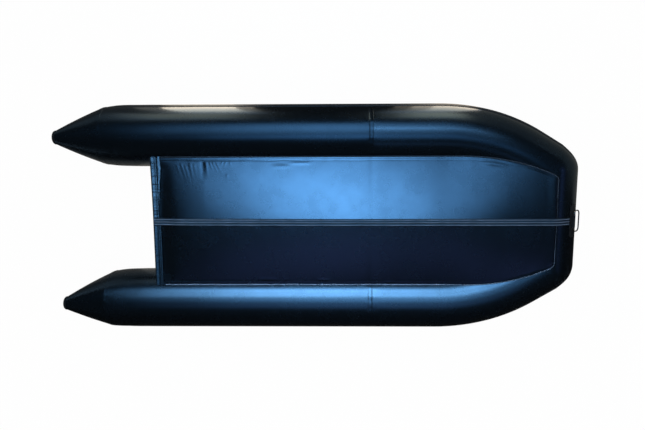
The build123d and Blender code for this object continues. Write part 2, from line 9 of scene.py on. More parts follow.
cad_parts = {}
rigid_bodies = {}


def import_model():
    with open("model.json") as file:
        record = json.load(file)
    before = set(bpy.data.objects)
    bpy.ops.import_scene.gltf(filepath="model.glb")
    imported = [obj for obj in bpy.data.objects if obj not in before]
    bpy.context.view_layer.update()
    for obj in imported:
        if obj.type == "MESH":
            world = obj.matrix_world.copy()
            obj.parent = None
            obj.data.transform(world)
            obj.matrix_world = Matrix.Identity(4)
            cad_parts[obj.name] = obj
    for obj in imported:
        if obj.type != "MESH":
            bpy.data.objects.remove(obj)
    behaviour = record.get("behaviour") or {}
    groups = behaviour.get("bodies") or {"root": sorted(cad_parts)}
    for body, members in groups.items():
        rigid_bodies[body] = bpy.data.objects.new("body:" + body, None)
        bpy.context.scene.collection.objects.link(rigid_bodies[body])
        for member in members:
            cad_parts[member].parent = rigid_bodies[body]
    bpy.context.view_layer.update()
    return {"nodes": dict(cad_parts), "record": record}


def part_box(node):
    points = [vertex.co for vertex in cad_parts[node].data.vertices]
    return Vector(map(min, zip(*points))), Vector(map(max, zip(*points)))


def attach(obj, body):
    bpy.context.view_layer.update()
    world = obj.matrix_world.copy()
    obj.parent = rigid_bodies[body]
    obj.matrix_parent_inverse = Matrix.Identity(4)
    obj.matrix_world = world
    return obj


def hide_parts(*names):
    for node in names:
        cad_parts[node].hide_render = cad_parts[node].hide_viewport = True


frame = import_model()
nodes = frame["nodes"]
print("frame loaded:", len(nodes), "nodes")

# main lines of the hull, in metres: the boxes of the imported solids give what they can
bowLow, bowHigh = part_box("bow_tube")
sideLow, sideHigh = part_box("side_tube_starboard")
coneLow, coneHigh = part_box("stern_cone_starboard")
tubeRadius = (sideHigh.y - sideLow.y) / 2
tubeY = (sideHigh.y + sideLow.y) / 2
axisZ = sideLow.z + tubeRadius
seamX = bowLow.x                     # joint of the side and bow chambers
bowAxisX = bowHigh.x - tubeRadius    # axis of the tube across the bow

tubeRun = {
    "swingRadius": 1.140, "swingDegrees": 29.0,   # where the tube swings in towards the bow
    "cornerRun": 0.160,                           # straight run from there to the bow's corner
    "tuck": 0.013,                                # the outer cloth is drawn in before the corner
    "tuckStart": 0.5,                             # from this share of the swing
    "tuckAtRun": 0.475,                           # to this share of the tuck where the straight run begins
    "tuckSwell": 5.0,                             # how slowly the corner lets it out again
    "ringPoints": 96,
}
weldGap, mirrorGap = 0.00004, 0.0001              # vertices closer than this are made one
swing = math.radians(tubeRun["swingDegrees"])
turn = math.pi / 2 - swing
swingX = bowAxisX - tubeRun["swingRadius"] * math.sin(swing) - tubeRun["cornerRun"] * math.cos(swing)
cornerY = tubeY - tubeRun["swingRadius"] * (1 - math.cos(swing)) - tubeRun["cornerRun"] * math.sin(swing)


# colours and shader nodes

def srgb(code):
    channels = [int(code[k:k + 2], 16) / 255 for k in (1, 3, 5)]
    return [c / 12.92 if c <= 0.04045 else ((c + 0.055) / 1.055) ** 2.4 for c in channels] + [1.0]


def addNode(tree, kind, settings=None, inputs=None, links=None):
    node = tree.nodes.new(kind)
    for name, value in (settings or {}).items():
        setattr(node, name, value)
    for name, value in (inputs or {}).items():
        node.inputs[name].default_value = value
    for name, source in (links or {}).items():
        tree.links.new(source, node.inputs[name])
    return node


def newMaterial(name, shader):
    material = bpy.data.materials.new(name)
    material.use_nodes = True
    tree = material.node_tree
    tree.nodes.clear()
    body = addNode(tree, "ShaderNodeBsdfPrincipled", inputs=shader)
    addNode(tree, "ShaderNodeOutputMaterial", links={"Surface": body.outputs["BSDF"]})
    place = addNode(tree, "ShaderNodeTexCoord").outputs["Object"]
    return material, tree, body, place


def perMetre(millimetres):
    return 1000.0 / millimetres      # texture scale for features of that size


# camera: held above the bottom of the boat, matched to the outline of the tubes

cameraView = {
    # from the middle of the boat at the height of the tube axes, in metres, then the turns in degrees
    "aboveTubes": Vector((0.0892, 0.6326, 4.0097)),
    "pitch": -8.699, "yaw": 1.033, "roll": -0.088,
    "focalPixels": 621.8, "imageWidth": 645, "sensor": 36.0, "clipEnd": 200.0,
}


def setCamera():
    data = bpy.data.cameras.new("camera")
    data.sensor_width = cameraView["sensor"]
    data.lens = cameraView["focalPixels"] * cameraView["sensor"] / cameraView["imageWidth"]
    data.clip_end = cameraView["clipEnd"]
    camera = bpy.data.objects.new("camera", data)
    place = Matrix.Translation(cameraView["aboveTubes"] + Vector((0, 0, axisZ)))
    for key, axis in (("pitch", "X"), ("yaw", "Y"), ("roll", "Z")):
        place = place @ Matrix.Rotation(math.radians(cameraView[key]), 4, axis)
    camera.matrix_world = place
    bpy.context.scene.collection.objects.link(camera)
    bpy.context.scene.camera = camera


# stage: white floor and backdrop, cool softboxes overhead, and cards that only the gloss sees: glowing and
# dark sheets that paint reflections of a sunlit floor, walls and dark flags

stage = {
    "floorRadius": 30.0, "floorSegments": 96, "backdropHeight": 11.0, "backdropInset": 0.5,
    "floorColour": "#F6F6F5", "floorWhite": 0.975,
    "worldColour": "#F2F4F6", "worldStrength": 0.9,      # for matt surfaces
    "worldGloss": 0.03,                                  # what the gloss sees of it
}
sheetPieces = ("bottom_sheet_starboard", "bottom_sheet_port")
portPieces = ("side_tube_skin_port", "bow_tube_skin", "chamber_tape_port", "cone_tape_port")
starboardPieces = ("side_tube_skin_starboard", "bow_tube_skin", "chamber_tape_starboard",
                   "cone_tape_starboard")
hemPiece, keelPiece, edgePiece = "transom_edge_cloth", "keel_rubber", "sheet_edge_tape"
softboxes = {
    # each is a row of boxes along x: y and z of the row, y and z that it is aimed at, depth and pitch of its
    # boxes, half of the spread in degrees, colour, the pieces that it lights, or all, and each box's x and
    # radiance
    "softboxStarboard": {
        "row": (0.45, 3.0), "aim": (0.267, 0.38), "depth": 1.20, "pitch": 0.6, "halfSpread": 16.0,
        "colour": "#A8D9FF", "lights": sheetPieces,
        "boxes": ((-1.7, 0.8), (-1.1, 5.2), (-0.5, 13.6), (0.1, 17.5), (0.7, 12.5), (1.3, 4.6), (1.9, 1.2))},
    "softboxPort": {
        "row": (1.45, 3.0), "aim": (-0.75, 0.38), "depth": 1.30, "pitch": 0.8, "halfSpread": 16.0,
        "colour": "#BCE3FF", "lights": portPieces,
        "boxes": ((-2.3, 1.0), (-1.5, 7.5), (-0.7, 15.5), (0.1, 18.0), (0.9, 15.0), (1.7, 8.0))},
    "softboxPortLow": {
        "row": (0.42, 3.05), "aim": (-0.64, 0.38), "depth": 0.95, "pitch": 0.8, "halfSpread": 12.0,
        "colour": "#BCE3FF", "lights": portPieces,
        "boxes": ((-1.5, 6.5), (-0.7, 16.0), (0.1, 19.0), (0.9, 15.0), (1.7, 6.0))},
    "softboxPortTail": {
        "row": (-0.45, 3.0), "aim": (-0.62, 0.38), "depth": 0.90, "pitch": 0.8, "halfSpread": 14.0,
        "colour": "#A8D9FF", "lights": portPieces,
        "boxes": ((-1.5, 1.0), (-0.7, 3.4), (0.1, 4.8), (0.9, 4.4), (1.7, 2.4))},
    "softboxPortFar": {
        "row": (-1.50, 3.0), "aim": (-0.66, 0.36), "depth": 1.20, "pitch": 0.8, "halfSpread": 18.0,
        "colour": "#A8D0FF", "lights": portPieces,
        "boxes": ((-1.5, 0.3), (-0.7, 0.9), (0.1, 1.3), (0.9, 1.2), (1.7, 0.7))},
    "softboxPortBow": {
        "row": (0.50, 3.0), "aim": (-0.42, 0.38), "aimX": 1.25,
        "depth": 0.70, "pitch": 1.0, "halfSpread": 15.0,
        "colour": "#A8D9FF", "lights": ("bow_tube_skin",), "boxes": ((1.15, 4.0),)},
    "softboxBeamLow": {
        "row": (0.50, 3.0), "aim": (0.52, 0.38), "depth": 0.80, "pitch": 0.8, "halfSpread": 14.0,
        "colour": "#98D0FF", "lights": starboardPieces,
        "boxes": ((-1.5, 0.3), (-0.7, 1.6), (0.1, 3.0), (0.9, 2.0), (1.7, 0.8))},
    "softboxBeam": {
        "row": (2.15, 3.1), "aim": (0.56, 0.38), "depth": 2.40, "pitch": 0.8, "halfSpread": 30.0,
        "colour": "#A8D9FF", "boxes": ((-1.5, 1.0), (-0.7, 2.4), (0.1, 3.3), (0.9, 2.2), (1.7, 1.0))},
    "softboxKeel": {
        "row": (-1.55, 3.0), "aim": (-0.50, 0.36), "depth": 0.80, "pitch": 0.8, "halfSpread": 15.0,
        "colour": "#C4B8FF", "lights": sheetPieces,
        "boxes": ((-1.5, 0.15), (-0.7, 0.55), (0.1, 0.75), (0.9, 0.45), (1.7, 0.35), (2.5, 0.7))},
    "softboxBow": {
        "row": (0.0, 3.0), "aim": (0.0, 0.36), "depth": 2.40, "pitch": 1.2, "halfSpread": 20.0,
        "colour": "#A8B8FF", "boxes": ((4.6, 1.0),)},
    "softboxTrim": {
        "row": (0.15, 3.0), "aim": (0.0, 0.36), "depth": 0.50, "pitch": 0.8, "halfSpread": 25.0,
        "colour": "#BCE3FF", "lights": (hemPiece, keelPiece),
        "boxes": ((-2.3, 8.0), (-1.5, 9.0), (-0.7, 6.0), (0.1, 7.0), (0.9, 6.0), (1.7, 5.0), (2.5, 4.0))},
    "softboxEdge": {
        "row": (0.20, 3.0), "aim": (-0.45, 0.38), "depth": 0.90, "pitch": 0.8, "halfSpread": 12.0,
        "colour": "#D0E2FA", "lights": (edgePiece,),
        "boxes": ((-1.5, 85.0), (-0.7, 100.0), (0.1, 100.0), (0.9, 95.0), (1.7, 80.0), (2.5, 55.0))},
    "softboxTrimLow": {
        "row": (-0.80, 3.0), "aim": (-0.40, 0.36), "depth": 1.00, "pitch": 1.6, "halfSpread": 30.0,
        "colour": "#A8D9FF", "lights": (hemPiece,), "boxes": ((-1.9, 1.2),)},
    "softboxTrimBow": {
        "row": (0.0, 3.0), "aim": (0.0, 0.36), "aimX": 1.45,
        "depth": 1.60, "pitch": 1.2, "halfSpread": 25.0,
        "colour": "#D6DEF0", "lights": (keelPiece, edgePiece), "boxes": ((4.4, 2.0),)},
}
mirrorShare, mirrorShift = 1.69, -0.06   # where the gloss sends the view: x of a box from x on the hull
cards = {
    # name: centre, width, depth or height, degrees about x, degrees about z, radiance, colour
    # each card is a painted reflection: it glows, or stays dark, in the gloss alone and gives no light to
    # matt surfaces
    "cardFloorPort": ((0.0, -1.75, 0.004), 8.0, 2.0, 0, 0, 0.02, "#DAD9D4"),
    "cardPort": ((0.0, -2.75, 0.8), 8.0, 1.6, 90, 0, 0.02, "#DAD9D4"),
    "cardFloorAft": ((-2.62, 1.08, 0.004), 2.74, 3.64, 0, 0, 0.12, "#DAD9D4"),
    "cardAft": ((-4.0, 0.08, 0.8), 5.64, 1.6, 90, 90, 0.28, "#DAD9D4"),
    "cardFloorBow": ((2.55, 1.45, 0.004), 2.90, 2.90, 0, 0, 0.17, "#E4E6DC"),
    "cardFloorBowPort": ((2.55, -0.37, 0.004), 2.90, 0.74, 0, 0, 0.02, "#DAD9D4"),
    "cardBow": ((4.0, 1.45, 0.8), 2.90, 1.6, 90, 90, 0.17, "#E4E6DC"),
    "cardBowPort": ((4.0, -1.37, 0.8), 2.74, 1.6, 90, 90, 0.02, "#DAD9D4"),
    "cardFloorBeam": ((0.0, 1.82, 0.004), 1.10, 2.16, 0, 0, 0.03, "#DAD9D4"),
    "cardBeam": ((-0.03, 2.90, 0.8), 1.60, 1.6, 90, 0, 0.03, "#DAD9D4"),
    "cardBeamAft": ((-2.92, 2.90, 0.8), 2.16, 1.6, 90, 0, 0.28, "#DAD9D4"),
    "cardBeamBow": ((2.78, 2.90, 0.8), 2.44, 1.6, 90, 0, 0.17, "#DAD9D4"),
    "cardFloorStern": ((-1.30, 0.0, 0.004), 1.00, 0.72, 0, 0, 0.45, "#E4D8C8"),
    "cardGapAft": ((-1.16, 1.16, 0.006), 0.18, 0.88, 0, 0, 0.5, "#EADFCB"),
    "cardSunAft": ((-0.82, 1.16, 0.006), 0.50, 0.88, 0, 0, 4.6, "#FFE6C8"),
    "cardSunAftFade": ((-0.51, 1.16, 0.006), 0.12, 0.88, 0, 0, 1.0, "#FFE6C8"),
    "cardSunBowFade": ((0.56, 1.16, 0.006), 0.12, 0.88, 0, 0, 0.4, "#FFE6C8"),
    "cardSunBowHalf": ((0.69, 1.16, 0.006), 0.14, 0.88, 0, 0, 1.5, "#FFE6C8"),
    "cardSunBow": ((0.92, 1.16, 0.006), 0.32, 0.88, 0, 0, 3.6, "#FFE6C8"),
    "cardWallAft": ((-1.30, 2.85, 0.5), 0.90, 1.0, 90, 0, 1.6, "#FFE0B8"),
    "cardWallBow": ((1.20, 2.85, 0.5), 0.80, 1.0, 90, 0, 2.6, "#FFE0B8"),
}


def flatMesh(name, bm, material):
    mesh = bpy.data.meshes.new(name)
    bm.to_mesh(mesh)
    bm.free()
    mesh.materials.append(material)
    flat = bpy.data.objects.new(name, mesh)
    bpy.context.scene.collection.objects.link(flat)
    return flat


def floorMaterial():
    # matt paper: white to the eye and in reflections, with part of the real shading so that the shadow stays
    material = bpy.data.materials.new("white paper floor")
    material.use_nodes = True
    tree = material.node_tree
    tree.nodes.clear()
    path = addNode(tree, "ShaderNodeLightPath")
    seen = addNode(tree, "ShaderNodeMath", {"operation": "MAXIMUM"},
                   links={0: path.outputs["Is Camera Ray"], 1: path.outputs["Is Glossy Ray"]})
    seen = addNode(tree, "ShaderNodeMath", {"operation": "MAXIMUM"},
                   links={0: seen.outputs[0], 1: path.outputs["Is Transmission Ray"]})
    share = addNode(tree, "ShaderNodeMath", {"operation": "MULTIPLY"}, {1: stage["floorWhite"]},
                    {0: seen.outputs[0]})
    matt = addNode(tree, "ShaderNodeBsdfDiffuse", inputs={"Color": srgb(stage["floorColour"])})
    white = addNode(tree, "ShaderNodeEmission", inputs={"Color": (1, 1, 1, 1), "Strength": 1.0})
    mix = addNode(tree, "ShaderNodeMixShader",
                  links={0: share.outputs[0], 1: matt.outputs[0], 2: white.outputs[0]})
    addNode(tree, "ShaderNodeOutputMaterial", links={"Surface": mix.outputs[0]})
    return material


def setStage():
    paper = floorMaterial()
    bm = bmesh.new()
    bmesh.ops.create_circle(bm, cap_ends=True, segments=stage["floorSegments"], radius=stage["floorRadius"])
    flatMesh("floor", bm, paper)
    bm = bmesh.new()
    ring = bmesh.ops.create_circle(bm, segments=stage["floorSegments"],
                                   radius=stage["floorRadius"] - stage["backdropInset"])["verts"]
    bmesh.ops.spin(bm, geom=ring + bm.edges[:], cent=(0, 0, 0), axis=(0, 0, 1),
                   dvec=(0, 0, stage["backdropHeight"]), angle=0, steps=1)
    flatMesh("backdrop", bm, paper)
    for name, (centre, width, height, aboutX, aboutZ, radiance, colour) in cards.items():
        place = Matrix.Translation(centre) @ Matrix.Rotation(math.radians(aboutZ), 4, "Z")
        place = place @ Matrix.Rotation(math.radians(aboutX), 4, "X") @ Matrix.Diagonal((width, height, 1, 1))
        bm = bmesh.new()
        bmesh.ops.create_grid(bm, x_segments=1, y_segments=1, size=0.5, matrix=place)
        # the card's emission is a painted reflection, seen only by glossy rays
        paintedReflection = newMaterial(f"felt of {name}", {
            "Base Color": (0, 0, 0, 1), "Roughness": 1.0, "Specular IOR Level": 0.0,
            "Emission Color": srgb(colour), "Emission Strength": radiance})[0]
        card = flatMesh(name, bm, paintedReflection)
        card.visible_camera = card.visible_diffuse = card.visible_shadow = card.visible_transmission = False
    setWorld()
    for name, box in softboxes.items():
        for k, (x, radiance) in enumerate(box["boxes"]):
            addSoftbox(f"{name}{k + 1}", box, x, radiance)


def addSoftbox(name, box, x, radiance):
    half = math.radians(box["halfSpread"])
    data = bpy.data.lights.new(name, "AREA")
    data.shape = "RECTANGLE"
    data.size, data.size_y = box["pitch"], box["depth"]
    data.spread = 2 * half
    # the spread keeps the power, so a narrow box takes less of it for the same radiance
    data.energy = radiance * math.pi * box["pitch"] * box["depth"] * (1 - half / math.tan(half))
    data.color = srgb(box["colour"])[:3]
    lamp = bpy.data.objects.new(name, data)
    place = Vector((x, *box["row"]))
    aimX = box.get("aimX", (x - mirrorShift) / mirrorShare)
    back = (place - Vector((aimX, *box["aim"]))).normalized()
    side = Vector((0, 1, 0)).cross(back).normalized()
    turned = Matrix((side, back.cross(side), back)).transposed().to_4x4()
    lamp.matrix_world = Matrix.Translation(place) @ turned
    bpy.context.scene.collection.objects.link(lamp)


def setWorld():
    # an even pale room for matt surfaces, and a dark one in the gloss
    world = bpy.data.worlds.new("studio")
    bpy.context.scene.world = world
    world.use_nodes = True
    tree = world.node_tree
    tree.nodes.clear()
    path = addNode(tree, "ShaderNodeLightPath")
    level = addNode(tree, "ShaderNodeMapRange",
                    inputs={"To Min": stage["worldGloss"], "To Max": stage["worldStrength"]},
                    links={"Value": path.outputs["Is Diffuse Ray"]})
    room = addNode(tree, "ShaderNodeBackground", inputs={"Color": srgb(stage["worldColour"])},
                   links={"Strength": level.outputs["Result"]})
    addNode(tree, "ShaderNodeOutputWorld", links={"Surface": room.outputs["Background"]})


def linkLamps():
    # a row that names its pieces lights those alone
    for name, box in softboxes.items():
        if "lights" in box:
            lit = bpy.data.collections.new(f"lit by {name}")
            for piece in box["lights"]:
                lit.objects.link(bpy.data.objects[piece])
            for k in range(len(box["boxes"])):
                bpy.data.objects[f"{name}{k + 1}"].light_linking.receiver_collection = lit


# materials

def bumpOf(tree, body, layers):
    # layers of (height source, height in metres), one bump on another
    normal = None
    for source, height in layers:
        bump = addNode(tree, "ShaderNodeBump", inputs={"Strength": 1.0, "Distance": height},
                       links={"Height": source})
        if normal:
            tree.links.new(normal, bump.inputs["Normal"])
        normal = bump.outputs["Normal"]
    tree.links.new(normal, body.inputs["Normal"])


def coatedFabric(name, slackness):
    # polyester cloth with a polished PVC coat: blue-black, slack, thread grain and smudges; the cool blue of
    # its sheen is a painted reflection of blue sky, set in the specular tint
    material, tree, body, place = newMaterial(name, {
        "Base Color": srgb("#040507"), "IOR": 1.6,
        "Specular IOR Level": 1.0, "Specular Tint": srgb("#A0D3FF")})
    slack = addNode(tree, "ShaderNodeTexNoise",
                    inputs={"Scale": perMetre(70), "Detail": 1.0, "Roughness": 0.5}, links={"Vector": place})
    # threads are 0.5 mm apart on the cloth, and 2 mm here so that they show
    grain = addNode(tree, "ShaderNodeTexVoronoi", inputs={"Scale": perMetre(2)}, links={"Vector": place})
    smudge = addNode(tree, "ShaderNodeTexNoise", links={"Vector": place},
                     inputs={"Scale": perMetre(110), "Detail": 5.0, "Roughness": 0.6})
    rough = addNode(tree, "ShaderNodeMapRange",
                    inputs={"From Min": 0.3, "From Max": 0.7, "To Min": 0.24, "To Max": 0.29},
                    links={"Value": smudge.outputs["Fac"]})
    tree.links.new(rough.outputs["Result"], body.inputs["Roughness"])
    bumpOf(tree, body, [(slack.outputs["Fac"], slackness), (grain.outputs["Distance"], 0.00002)])
    return material


def blackRubber(name, colour, bloomColour, roughness, ior=1.52, bloom=(45, 6.0, 0.65), pore=0.00008):
    # extruded or moulded rubber, or satin PVC tape: black with a greyish bloom and fine pores; its pale blue
    # specular tint is a painted cool reflection of the sky
    millimetres, detail, fineness = bloom
    material, tree, body, place = newMaterial(name, {
        "Roughness": roughness, "IOR": ior, "Specular Tint": srgb("#C8E4FF")})
    cloud = addNode(tree, "ShaderNodeTexNoise", links={"Vector": place},
                    inputs={"Scale": perMetre(millimetres), "Detail": detail, "Roughness": fineness})
    tone = addNode(tree, "ShaderNodeMix", {"data_type": "RGBA"},
                   {"A": srgb(colour), "B": srgb(bloomColour)}, {"Factor": cloud.outputs["Fac"]})
    tree.links.new(tone.outputs["Result"], body.inputs["Base Color"])
    pores = addNode(tree, "ShaderNodeTexNoise", inputs={"Scale": perMetre(3), "Detail": 3.0},
                    links={"Vector": place})
    bumpOf(tree, body, [(pores.outputs["Fac"], pore)])
    return material


def ribbedRubber(name, size):
    # the keel strip: polished black rubber, its rib crests lighter in a painted bluish-grey highlight, partly
    # rubbed wear, broken up by scuffs; its sky-blue specular tint is a painted cool reflection
    material, tree, body, place = newMaterial(name, {
        "Roughness": 0.28, "IOR": 1.52, "Specular IOR Level": 1.0, "Specular Tint": srgb("#A0D3FF")})
    across = addNode(tree, "ShaderNodeSeparateXYZ", links={"Vector": place}).outputs["Y"]
    away = addNode(tree, "ShaderNodeMath", {"operation": "PINGPONG"}, {1: size["ribPitch"] / 2}, {0: across})
    crestHighlight = addNode(tree, "ShaderNodeMapRange",
                    inputs={"From Min": size["ribTop"], "From Max": size["ribFoot"],
                            "To Min": 1.0, "To Max": 0.0},
                    links={"Value": away.outputs[0]})
    scuffs = addNode(tree, "ShaderNodeTexNoise", inputs={"Scale": perMetre(60), "Detail": 4.0},
                     links={"Vector": place})
    scuffedCrestHighlight = addNode(tree, "ShaderNodeMath", {"operation": "MULTIPLY"},
                   links={0: crestHighlight.outputs["Result"], 1: scuffs.outputs["Fac"]})
    # the crests get a painted bluish-grey highlight, scuffed in places
    tone = addNode(tree, "ShaderNodeMix", {"data_type": "RGBA"}, {"A": srgb("#0A0E16"), "B": srgb("#8095B2")},
                   {"Factor": scuffedCrestHighlight.outputs[0]})
    tree.links.new(tone.outputs["Result"], body.inputs["Base Color"])
    pores = addNode(tree, "ShaderNodeTexNoise", inputs={"Scale": perMetre(3), "Detail": 3.0},
                    links={"Vector": place})
    bumpOf(tree, body, [(pores.outputs["Fac"], 0.00005)])
    return material


def grainOf(tree, place, along, across):
    # wood grain or drawn lines: noise stretched along the boat, sizes in millimetres
    mapping = addNode(tree, "ShaderNodeMapping", links={"Vector": place},
                      inputs={"Scale": (perMetre(along), perMetre(across), perMetre(across))})
    return addNode(tree, "ShaderNodeTexNoise", links={"Vector": mapping.outputs["Vector"]},
                   inputs={"Scale": 1.0, "Detail": 6.0, "Roughness": 0.6, "Distortion": 1.2})


def varnishedPlywood(name):
    # birch plywood under clear varnish: warm brown streaks, a few dark figure lines, satin gloss
    material, tree, body, place = newMaterial(name, {"IOR": 1.5, "Coat Weight": 0.35, "Coat Roughness": 0.18})
    grain = grainOf(tree, place, 260, 9)
    ramp = addNode(tree, "ShaderNodeValToRGB", links={"Fac": grain.outputs["Fac"]})
    for element, (position, colour) in zip(ramp.color_ramp.elements, ((0.32, "#7E5A38"), (0.68, "#B98C5C"))):
        element.position, element.color = position, srgb(colour)
    middle = ramp.color_ramp.elements.new(0.5)
    middle.color = srgb("#9C7148")
    tree.links.new(ramp.outputs["Color"], body.inputs["Base Color"])
    rough = addNode(tree, "ShaderNodeMapRange", inputs={"To Min": 0.34, "To Max": 0.5},
                    links={"Value": grain.outputs["Fac"]})
    tree.links.new(rough.outputs["Result"], body.inputs["Roughness"])
    bumpOf(tree, body, [(grain.outputs["Fac"], 0.00015)])
    return material


def paintedPlywood(name):
    # plywood in black enamel: the grain shows through as low ripples, worn grey in places
    material, tree, body, place = newMaterial(name, {"IOR": 1.5})
    grain = grainOf(tree, place, 12, 180)
    wear = addNode(tree, "ShaderNodeTexNoise",
                   inputs={"Scale": perMetre(60), "Detail": 8.0, "Roughness": 0.7}, links={"Vector": place})
    tone = addNode(tree, "ShaderNodeMix", {"data_type": "RGBA"}, {"A": srgb("#15171A"), "B": srgb("#33363A")},
                   {"Factor": wear.outputs["Fac"]})
    tree.links.new(tone.outputs["Result"], body.inputs["Base Color"])
    rough = addNode(tree, "ShaderNodeMapRange", inputs={"To Min": 0.3, "To Max": 0.5},
                    links={"Value": wear.outputs["Fac"]})
    tree.links.new(rough.outputs["Result"], body.inputs["Roughness"])
    bumpOf(tree, body, [(grain.outputs["Fac"], 0.0002)])
    return material


def bareMetal(name, colour, low, high, along, across):
    # drawn or polished metal: fine lines along the stock, fingermarks in the gloss
    material, tree, body, place = newMaterial(name, {"Base Color": srgb(colour), "Metallic": 1.0})
    lines = grainOf(tree, place, along, across)
    marks = addNode(tree, "ShaderNodeTexNoise", inputs={"Scale": perMetre(30), "Detail": 5.0},
                    links={"Vector": place})
    rough = addNode(tree, "ShaderNodeMapRange",
                    inputs={"From Min": 0.3, "From Max": 0.7, "To Min": low, "To Max": high},
                    links={"Value": marks.outputs["Fac"]})
    tree.links.new(rough.outputs["Result"], body.inputs["Roughness"])
    bumpOf(tree, body, [(lines.outputs["Fac"], 0.00003)])
    return material


def setMaterials():
    return {
        "tube_fabric": coatedFabric("glossy PVC-coated tube fabric", 0.00009),
        "bottom_fabric": coatedFabric("glossy PVC-coated bottom fabric", 0.00009),
        "seam_tape": coatedFabric("glossy PVC seam tape", 0.00016),
        "sheet_edge": blackRubber("satin edge tape of the bottom", "#161C25", "#2A3542", 0.34, ior=1.55,
                                  bloom=(80, 4.0, 0.6), pore=0.00006),
        "strake_rubber": blackRubber("extruded black rubber", "#111315", "#24272B", 0.36),
        "keel_rubber": ribbedRubber("polished keel rubber", keelStrip),
        "moulding": blackRubber("moulded black PVC", "#0C0D0F", "#1E2125", 0.40),
        "transom_paint": paintedPlywood("black enamel on plywood"),
        "plywood": varnishedPlywood("varnished birch plywood"),
        "aluminium": bareMetal("anodised aluminium", "#D8DADD", 0.30, 0.42, 400, 0.8),
        "stainless": bareMetal("polished stainless steel", "#D6D6D4", 0.10, 0.2, 60, 60),
    }


# bmesh helpers

def onStarboard(x, y, z):
    return Matrix.Translation((x, y, z)) @ Matrix.Rotation(math.pi / 2, 4, "Y")   # plane across the tube


def within(share):
    return max(0.0, min(1.0, share))


def bothSides(bm):
    # the starboard mesh and its mirror image
    twin = bm.copy()
    bmesh.ops.scale(twin, vec=(1, -1, 1), verts=twin.verts)
    bmesh.ops.reverse_faces(twin, faces=twin.faces)
    return ("starboard", bm), ("port", twin)


def mirrorAcross(bm, gap):
    # adds the port half to the starboard half
    bmesh.ops.mirror(bm, geom=bm.verts[:] + bm.edges[:] + bm.faces[:], merge_dist=gap, axis="Y")


def closeEnds(bm):
    bmesh.ops.holes_fill(bm, edges=[e for e in bm.edges if e.is_boundary])


def outlineOf(bm, points):
    # a closed outline, ready to be swept
    verts = [bm.verts.new(point) for point in points]
    return verts + [bm.edges.new(pair) for pair in zip(verts, verts[1:] + verts[:1])]


def carried(bm, ring, step):
    # sweeps a ring straight on by one step
    return bmesh.ops.spin(bm, geom=ring, cent=(0, 0, 0), axis=(0, 0, 1), dvec=step, angle=0,
                          steps=1)["geom_last"]


def breathe(bm, amount, length):
    # slow unevenness of pumped-up cloth
    bm.normal_update()
    moves = [(v, v.normal * noise.noise(v.co / length) * amount) for v in bm.verts]
    for v, move in moves:
        v.co += move


def ringVerts(geom):
    return [part for part in geom if isinstance(part, bmesh.types.BMVert)]


def addPiece(name, bm, material, replaced, sharp=45):
    bmesh.ops.remove_doubles(bm, verts=bm.verts, dist=weldGap)
    bmesh.ops.recalc_face_normals(bm, faces=bm.faces)
    mesh = bpy.data.meshes.new(name)
    bm.to_mesh(mesh)
    bm.free()
    mesh.shade_smooth()
    mesh.set_sharp_from_angle(angle=math.radians(sharp))
    mesh.materials.append(material)
    piece = bpy.data.objects.new(name, mesh)
    bpy.context.scene.collection.objects.link(piece)
    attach(piece, "hull")
    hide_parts(replaced)
    return piece


def thicken(piece, thickness):
    wall = piece.modifiers.new("thickness", "SOLIDIFY")
    wall.thickness, wall.offset = thickness, -1


# tubes

sideTube = {
    "shoulderX": -1.255, "shoulderRings": 6, "ringStep": 0.05,
    "pinch": 0.0012, "pinchLength": 0.035, "pinchRings": 5,                 # drawn in at the chamber seam
    "pucker": 0.0007, "puckers": 22, "puckerLength": 0.05,                  # gathers beside the seams
    "puckerDrift": 3.0, "driftWaves": 6.0,                                  # and how unevenly they are spaced
    "slackness": 0.0009, "slackLength": 0.35,
}
sternCone = {
    "tipRadius": 0.0425, "rootRadius": 0.180, "bulge": 0.006, "rings": 14, "lean": 0.006, "leanEnd": -1.15,
}
coneCap = {
    # x behind the cone's tip, radius: a fine groove, then a rounded end
    "profile": ((-0.004, 0.0360), (-0.0035, 0.0424), (-0.0005, 0.0430), (0.0004, 0.0420), (0.0012, 0.0432),
                (0.0050, 0.0430), (0.0095, 0.0412), (0.0135, 0.0380), (0.0162, 0.0335), (0.0176, 0.0280),
                (0.0180, 0.0200), (0.0180, 0.0)),
    "steps": 72,
}


def sternRadius(x):
    if x <= coneHigh.x:
        share = (x - coneLow.x) / (coneHigh.x - coneLow.x)
        straight = sternCone["tipRadius"] + (sternCone["rootRadius"] - sternCone["tipRadius"]) * share
        return straight + sternCone["bulge"] * 4 * share * (1 - share)
    share = min(1.0, (x - coneHigh.x) / (sideTube["shoulderX"] - coneHigh.x))
    return sternCone["rootRadius"] + (tubeRadius - sternCone["rootRadius"]) * share * (2 - share)


def sternLean(x):
    # the cones' roots stand a little outwards
    if x <= coneHigh.x:
        return sternCone["lean"] * (x - coneLow.x) / (coneHigh.x - coneLow.x)
    return sternCone["lean"] * max(0.0, (sternCone["leanEnd"] - x) / (sternCone["leanEnd"] - coneHigh.x))


def ringsAlong(bm, stations):
    # rings across the starboard tube: the keel-side line stays straight where the tube narrows
    ring, last = None, None
    for x, radius in stations:
        centre = Vector((x, tubeY + sternLean(x), axisZ + tubeRadius - radius))
        if ring is None:
            ring = bmesh.ops.create_circle(bm, segments=tubeRun["ringPoints"], radius=radius,
                                           matrix=onStarboard(*centre))["verts"]
            ring = ring + list({edge for v in ring for edge in v.link_edges})
        else:
            ring = carried(bm, ring, centre - last[0])
            share = radius / last[1]
            bmesh.ops.scale(bm, vec=(1, share, share), space=Matrix.Translation(-centre),
                            verts=ringVerts(ring))
        last = (centre, radius)


